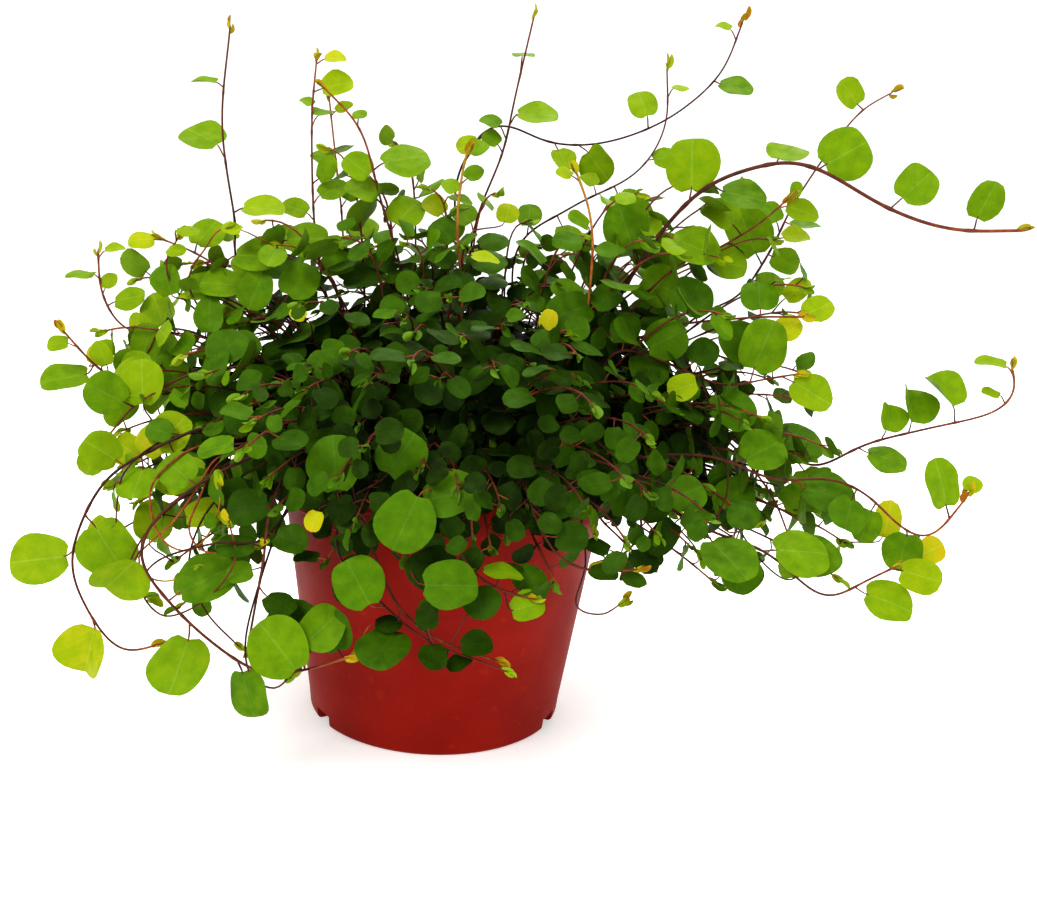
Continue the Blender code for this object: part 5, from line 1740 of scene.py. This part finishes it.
wires = (  # thin bare shoots that loop under the mound: the wood's tone and the points passed
    (0.30, ((-34, -52, 101), (-39, -62, 92), (-48, -70, 79), (-61, -74, 78), (-78, -72, 71), (-84, -70, 61),
            (-77, -70, 53), (-64, -72, 60), (-55, -74, 73), (-58, -70, 84))),
    (0.14, ((-36, -54, 99), (-43, -64, 86), (-48, -72, 67), (-51, -76, 50), (-49, -77, 39), (-42, -78, 36),
            (-37, -78, 40))),
    (0.34, ((-60, -40, 100), (-79, -50, 84), (-86, -58, 76), (-91, -60, 66), (-92, -60, 57),
            (-84, -62, 55))),
    (0.20, ((-50, -46, 99), (-65, -60, 87), (-71, -66, 70), (-65, -70, 56), (-53, -74, 46))),
    (0.16, ((44, -34, 101), (54, -42, 97), (60, -46, 89), (66, -48, 80), (61, -52, 74), (53, -56, 77),
            (50, -58, 84))),
    (0.12, ((48, -28, 102), (58, -38, 99), (68, -42, 92), (82, -44, 80), (86, -44, 74))),
    (0.22, ((38, -46, 101), (44, -56, 94), (48, -60, 76), (46, -63, 63), (54, -62, 60), (61, -60, 64))),
    (0.24, ((-22, -56, 101), (-25, -68, 92), (-25, -73, 77), (-12, -77, 65), (3, -78, 54), (18, -78, 49),
            (27, -78, 46))),
    (0.18, ((66, -22, 102), (82, -30, 97), (96, -36, 86), (106, -38, 74), (116, -40, 68), (122, -42, 76))),
    (0.62, ((-58, -38, 104), (-69, -52, 103), (-76, -60, 100), (-82, -66, 92), (-81, -68, 82),
            (-77, -68, 75), (-71, -67, 73), (-66, -66, 77), (-62, -67, 86), (-61, -68, 95))),
    (0.66, ((-56, -40, 101), (-66, -54, 99), (-69, -64, 92), (-75, -68, 82), (-81, -67, 76), (-86, -66, 70),
            (-84, -66, 64), (-77, -67, 63), (-69, -68, 67))),
    (0.56, ((-54, -42, 102), (-64, -58, 99), (-68, -68, 88), (-70, -69, 80), (-66, -69, 74), (-58, -69, 74),
            (-49, -70, 77))),
    (0.26, ((-64, -28, 103), (-80, -42, 103), (-88, -50, 100), (-94, -56, 93), (-96, -57, 84),
            (-97, -56, 74))),
    (0.20, ((60, -26, 112), (66, -40, 110), (69, -47, 102), (66, -50, 92), (62, -52, 87), (66, -50, 81),
            (73, -47, 83))),
    (0.30, ((76, -16, 112), (86, -30, 110), (92, -37, 104), (93, -39, 95), (91, -39, 87), (96, -38, 82),
            (104, -36, 85))),
    (0.42, ((-66, -6, 126), (-76, -8, 131), (-84, -10, 138), (-89, -12, 147), (-88, -12, 154),
            (-84, -12, 160), (-80, -12, 166), (-76, -12, 168))),
    (0.40, ((-79, -2, 133), (-86, -4, 137), (-93, -6, 143), (-97, -8, 149), (-98, -8, 155), (-96, -8, 160),
            (-93, -8, 165))),
)
showLeaves = (  # leaves that stand out: the middle, length, upward tilt, clock angle, age with painted shade (darker for the low ones at the front, under the mound), form
    ((-27, -72, 104), 15.5, 15, 100, 0.67, 0), ((-8, -70, 108), 14.5, 12, 60, 0.68, 1),
    ((-5, -81, 90), 16.5, 10, 250, 0.62, 0), ((7, -76, 98), 15.0, 30, 20, 0.64, 3),
    ((-18, -81, 72), 15.0, 12, 120, 0.60, 1), ((9, -85, 74), 14.5, 42, 10, 0.62, 2),
    ((-40, -82, 51), 17.0, 14, 130, 0.50, 0), ((-28, -78, 56), 12.5, 25, 50, 0.54, 2),
    ((32, -30, 146), 6.5, 15, 70, 0.13, 4), ((111, -20, 148), 9.5, 25, 40, 0.16, 4),
    ((76, -35, 128), 9.0, 10, 200, 0.30, 6), ((-117, -20, 124), 8.0, 10, 60, 0.13, 5),
    ((-113, -25, 113), 9.5, 55, 170, 0.15, 7), ((-91, -40, 100), 11.0, 20, 120, 0.19, 6),
    ((-50, -22, 142), 6.0, 30, 150, 0.15, 5), ((-32, -75, 87), 6.0, 20, 260, 0.13, 4),
    ((160, -40, 81), 9.5, 15, 30, 0.13, 6), ((147, -35, 89), 11.5, 20, 80, 0.17, 7),
    ((16, 0, 179), 8.5, 40, 80, 0.24, 4), ((10, -20, 164), 8.5, 60, 0, 0.22, 7),
    ((-75, -12, 168), 7.0, 50, 160, 0.28, 5), ((-9, 0, 180), 8.5, 30, 130, 0.24, 6),
    ((-96, -36, 118), 14.0, 12, 95, 0.37, 0), ((-84, -44, 104), 12.5, 25, 60, 0.32, 2),
    ((-100, -38, 96), 11.0, 20, 150, 0.25, 6), ((-78, -52, 92), 13.5, 35, 200, 0.38, 3),
    ((-88, -48, 76), 12.5, 20, 80, 0.34, 2), ((-70, -56, 82), 11.0, 15, 20, 0.26, 7),
    ((20, -76, 66), 6.0, 60, 30, 0.60, 4), ((31, -76, 66), 9.5, 35, 25, 0.42, 6),
    ((23, -76, 76), 10.5, 75, 5, 0.42, 7), ((2, -77, 61), 7.5, 15, 100, 0.92, 4),
    ((-9, -76, 58), 8.0, 65, 10, 0.90, 5), ((17, -78, 54), 9.0, 50, 20, 0.86, 6),
    ((12, -78, 48), 7.5, 60, 60, 0.88, 7), ((26, -74, 88), 6.5, 20, 300, 0.84, 5),
    ((36, -71, 90), 7.0, 35, 320, 0.80, 4), ((-22, -74, 87), 7.0, 30, 200, 0.88, 6),
    ((44, -66, 84), 6.0, 15, 280, 0.78, 5), ((-66, -8, 159), 16.5, 50, 0, 0.50, 0),
    ((-66, -14, 148), 12.5, 12, 250, 0.58, 6), ((-52, -10, 152), 13.0, 28, 60, 0.57, 2),
    ((-79, -10, 149), 13.5, 48, 180, 0.50, 0), ((-81, -16, 139), 12.0, 20, 95, 0.60, 7),
    ((-98, -8, 149), 10.5, 15, 110, 0.56, 6), ((-102, -16, 129), 11.5, 12, 80, 0.52, 4),
    ((-108, -18, 122), 10.5, 25, 200, 0.50, 5), ((-52, 2, 166), 14.5, 35, 10, 0.48, 1),
    ((56, -8, 177), 15.5, 10, 110, 0.58, 0), ((116, -6, 160), 9.5, 15, 40, 0.28, 7),
    ((115, 0, 178), 9.0, 50, 20, 0.27, 6), ((72, 0, 170), 12.5, 12, 80, 0.50, 2),
    ((-68, -20, 130), 11.5, 20, 150, 0.62, 5), ((-41, -4, 158), 11.0, 35, 20, 0.60, 6),
    ((-90, -10, 166), 7.5, 60, 10, 0.34, 5), ((-94, -10, 159), 6.5, 45, 340, 0.34, 4),
)


def nearPot(point, room):
    radius = math.hypot(point.x, point.y)
    if point.z > potHeight + room:
        return False
    if radius < wallRadius(vineRules["mixTop"]) - fill["mixEdge"] - room:
        return point.z < vineRules["mixTop"] + room
    outer = potRim if point.z > potHeight - potSizes["bandHeight"] else wallRadius(point.z)
    return radius < outer + room


def leafTouches(leaf, centres):
    base, along, side = leafFrame(leaf)
    size = leaf["size"]
    middle = base + 0.5 * size * along
    half = fill["halfWide"] * size * side
    corners = (base, middle, base + size * along, middle + half, middle - half)
    if any(nearPot(corner, fill["potRoom"]) or corner.z < fill["lowest"] for corner in corners):
        return True
    if any((middle - Vector(place)).length < reach for place, reach in fill["gaps"]):
        return True
    for other, length in centres:
        if (other - middle).length < fill["keepApart"] * 0.5 * (length + size):
            return True
    centres.append((middle, size))
    return False


def addWire(shoot, tone, points, draw):
    look = wireLook
    line = smoothRoute([Vector(point) for point in points], look["step"])
    last = len(line) - 1
    girths = [look["girth"] - look["taper"] * k / last for k in range(last + 1)]
    tones = [tone + look["tipTone"] * (k / last) ** 2 for k in range(last + 1)]
    addTwig(shoot, line, girths, tones)
    addTipBuds(shoot, line, draw, look["budAges"])
    stemPoints.extend(line)


def addShowLeaf(shoot, middle, size, tilt, clock, age, form, draw):
    turn, angle = math.radians(tilt), math.radians(clock)
    sway = draw.uniform(*showLook["sway"])
    normal = Vector((sway, -math.cos(turn), math.sin(turn))).normalized()
    along = Vector((math.cos(angle), 0, math.sin(angle)))
    along = (along - along.dot(normal) * normal).normalized()
    base = Vector(middle) - 0.5 * size * along
    wanted = base - showLook["behind"] * along - showLook["under"] * normal
    root = min(stemPoints, key=lambda point: (point - wanted).length_squared)
    leaf = {"reach": (base - root).normalized(), "size": size}
    addPetiole(shoot, root, leaf, base, along, draw)
    addBlade(shoot, base, along, normal, size, 1.0, age, form)


def leafedStem(shoot, line, count, sizes, look, draw, centres):
    bare = look["bare"]
    faceX, faceY = fill["faceCentre"]
    blades, poses = [], []
    for k in range(count):
        share = bare + (1 - bare) * (k + draw.uniform(*moundRules["bladeShift"])) / count
        size = moundSize(sizes, share, draw)
        start = pointAt(line, share)
        axis = axisAt(line, share)
        for attempt in range(fill["tries"]):
            hand = 1 if (k + attempt) % 2 else -1
            reach, normal = moundPose(start, hand, draw.uniform(*fill["tilts"]), axis, draw)
            facing = math.atan2(start.y - faceY, start.x - faceX) + draw.uniform(*fill["faceSwing"])
            outwards = Vector((math.cos(facing), math.sin(facing), 0))
            normal = (normal + draw.uniform(*fill["open"]) * outwards).normalized()
            leaf = newLeaf(start, reach, normal, size, draw)
            leaf = turnedLeaf(leaf, axis, draw.uniform(*fill["leafSwing"]))
            leaf = turnedLeaf(leaf, reach, draw.uniform(-1, 1) * fill["loose"])
            if not leafTouches(leaf, centres):
                poses.append(leaf)
                blades.append((share, 1, size, 0))
                break
    stem = newStem("fill", line, blades, True)
    fineLine = addStem(shoot, stem, look["girth"], look["tone"], False)
    for leaf in poses:
        addLeafOn(shoot, fineLine, leaf, draw)
    addTipBuds(shoot, fineLine, draw, moundBudAgesAndShades(line[-1], draw))
    return len(poses)


def offPot(line):
    for _ in range(fill["offPotRounds"]):
        line = line[:2] + [clearOfPot(point) for point in eased(line)[2:]]
    return line


def rootAt(ring, azimuth):
    return Vector((ring * math.cos(azimuth), ring * math.sin(azimuth), vineRules["mixTop"]))


def sector(azimuth):  # the number of the piece that this direction falls in
    return int(azimuth % math.tau * (fill["pieces"] / math.tau))


def newSprays(shoots):  # their stems only, so that the leaves that stand out are placed before theirs
    sprays = []
    for number, (end, count, largest) in enumerate(sprayEnds):
        draw = random.Random(fill["seed"] * 500 + number)
        end = Vector(end)
        azimuth = math.atan2(end.y, end.x)
        ring = draw.uniform(*sprayLook["rootRing"])
        ring *= min(moundRules["ring"], math.hypot(end.x, end.y))
        line = offPot(moundLine(rootAt(ring, azimuth), end, azimuth))
        stemPoints.extend(line)
        sizes = (sprayLook["smallest"] * largest, largest)
        sprays.append((shoots[sector(azimuth)], line, count, sizes, sprayLook, draw))
    return sprays


def ruleLine(number, azimuth, draw):  # the ends fan out evenly over a dome
    spread = math.sqrt((number + 0.5) / fill["stems"])
    fall = math.radians(fill["fallFrom"] + fill["fallOver"] * spread)
    reach = fill["reach"]
    end = Vector((
        reach.x * math.sin(fall) * math.cos(azimuth),
        reach.y * math.sin(fall) * math.sin(azimuth),
        reach.z * math.cos(fall),
    )) * draw.uniform(*fill["depths"])
    end += fill["middle"] + Vector((0, 0, moundRules["centreZ"]))
    ring = moundRules["ring"] * math.sqrt(draw.uniform(*fill["rootRing"])) * min(1.0, fall)
    root = rootAt(ring, azimuth + draw.uniform(*fill["rootSwing"]))
    return offPot(moundLine(root, end, azimuth))


def makeFill():
    centres = []
    for leaf in solidBlades:
        base, along, _ = leafFrame(leaf)
        centres.append((base + 0.5 * leaf["size"] * along, leaf["size"]))
    shoots = [newShoot() for _ in range(fill["pieces"])]
    draw = random.Random(fill["seed"])
    for tone, points in wires:
        x, y, _ = points[-1]
        addWire(shoots[sector(math.atan2(y, x))], tone, points, draw)
    sprays = newSprays(shoots)
    for middle, size, tilt, clock, age, form in showLeaves:
        shoot = shoots[sector(math.atan2(middle[1], middle[0]))]
        addShowLeaf(shoot, middle, size, tilt, clock, age, form, draw)
        centres += [(Vector(middle) + Vector(ahead), size) for ahead in fill["showRoom"]]
    grown = sum(leafedStem(*spray, centres) for spray in sprays)
    for number in range(fill["stems"]):
        draw = random.Random(fill["seed"] * 1000 + number)
        azimuth = number * moundRules["goldenAngle"] % math.tau
        line = ruleLine(number, azimuth, draw)
        shoot = shoots[sector(azimuth)]
        grown += leafedStem(shoot, line, fill["leaves"], fill["sizes"], fill, draw, centres)
    faces = 0
    for number, shoot in enumerate(shoots):
        faces += finishShoot("moundFill%d" % (number + 1), shoot, fill["sides"])
    print("mound filled with", grown, "leaves,", faces, "faces")


makeFill()
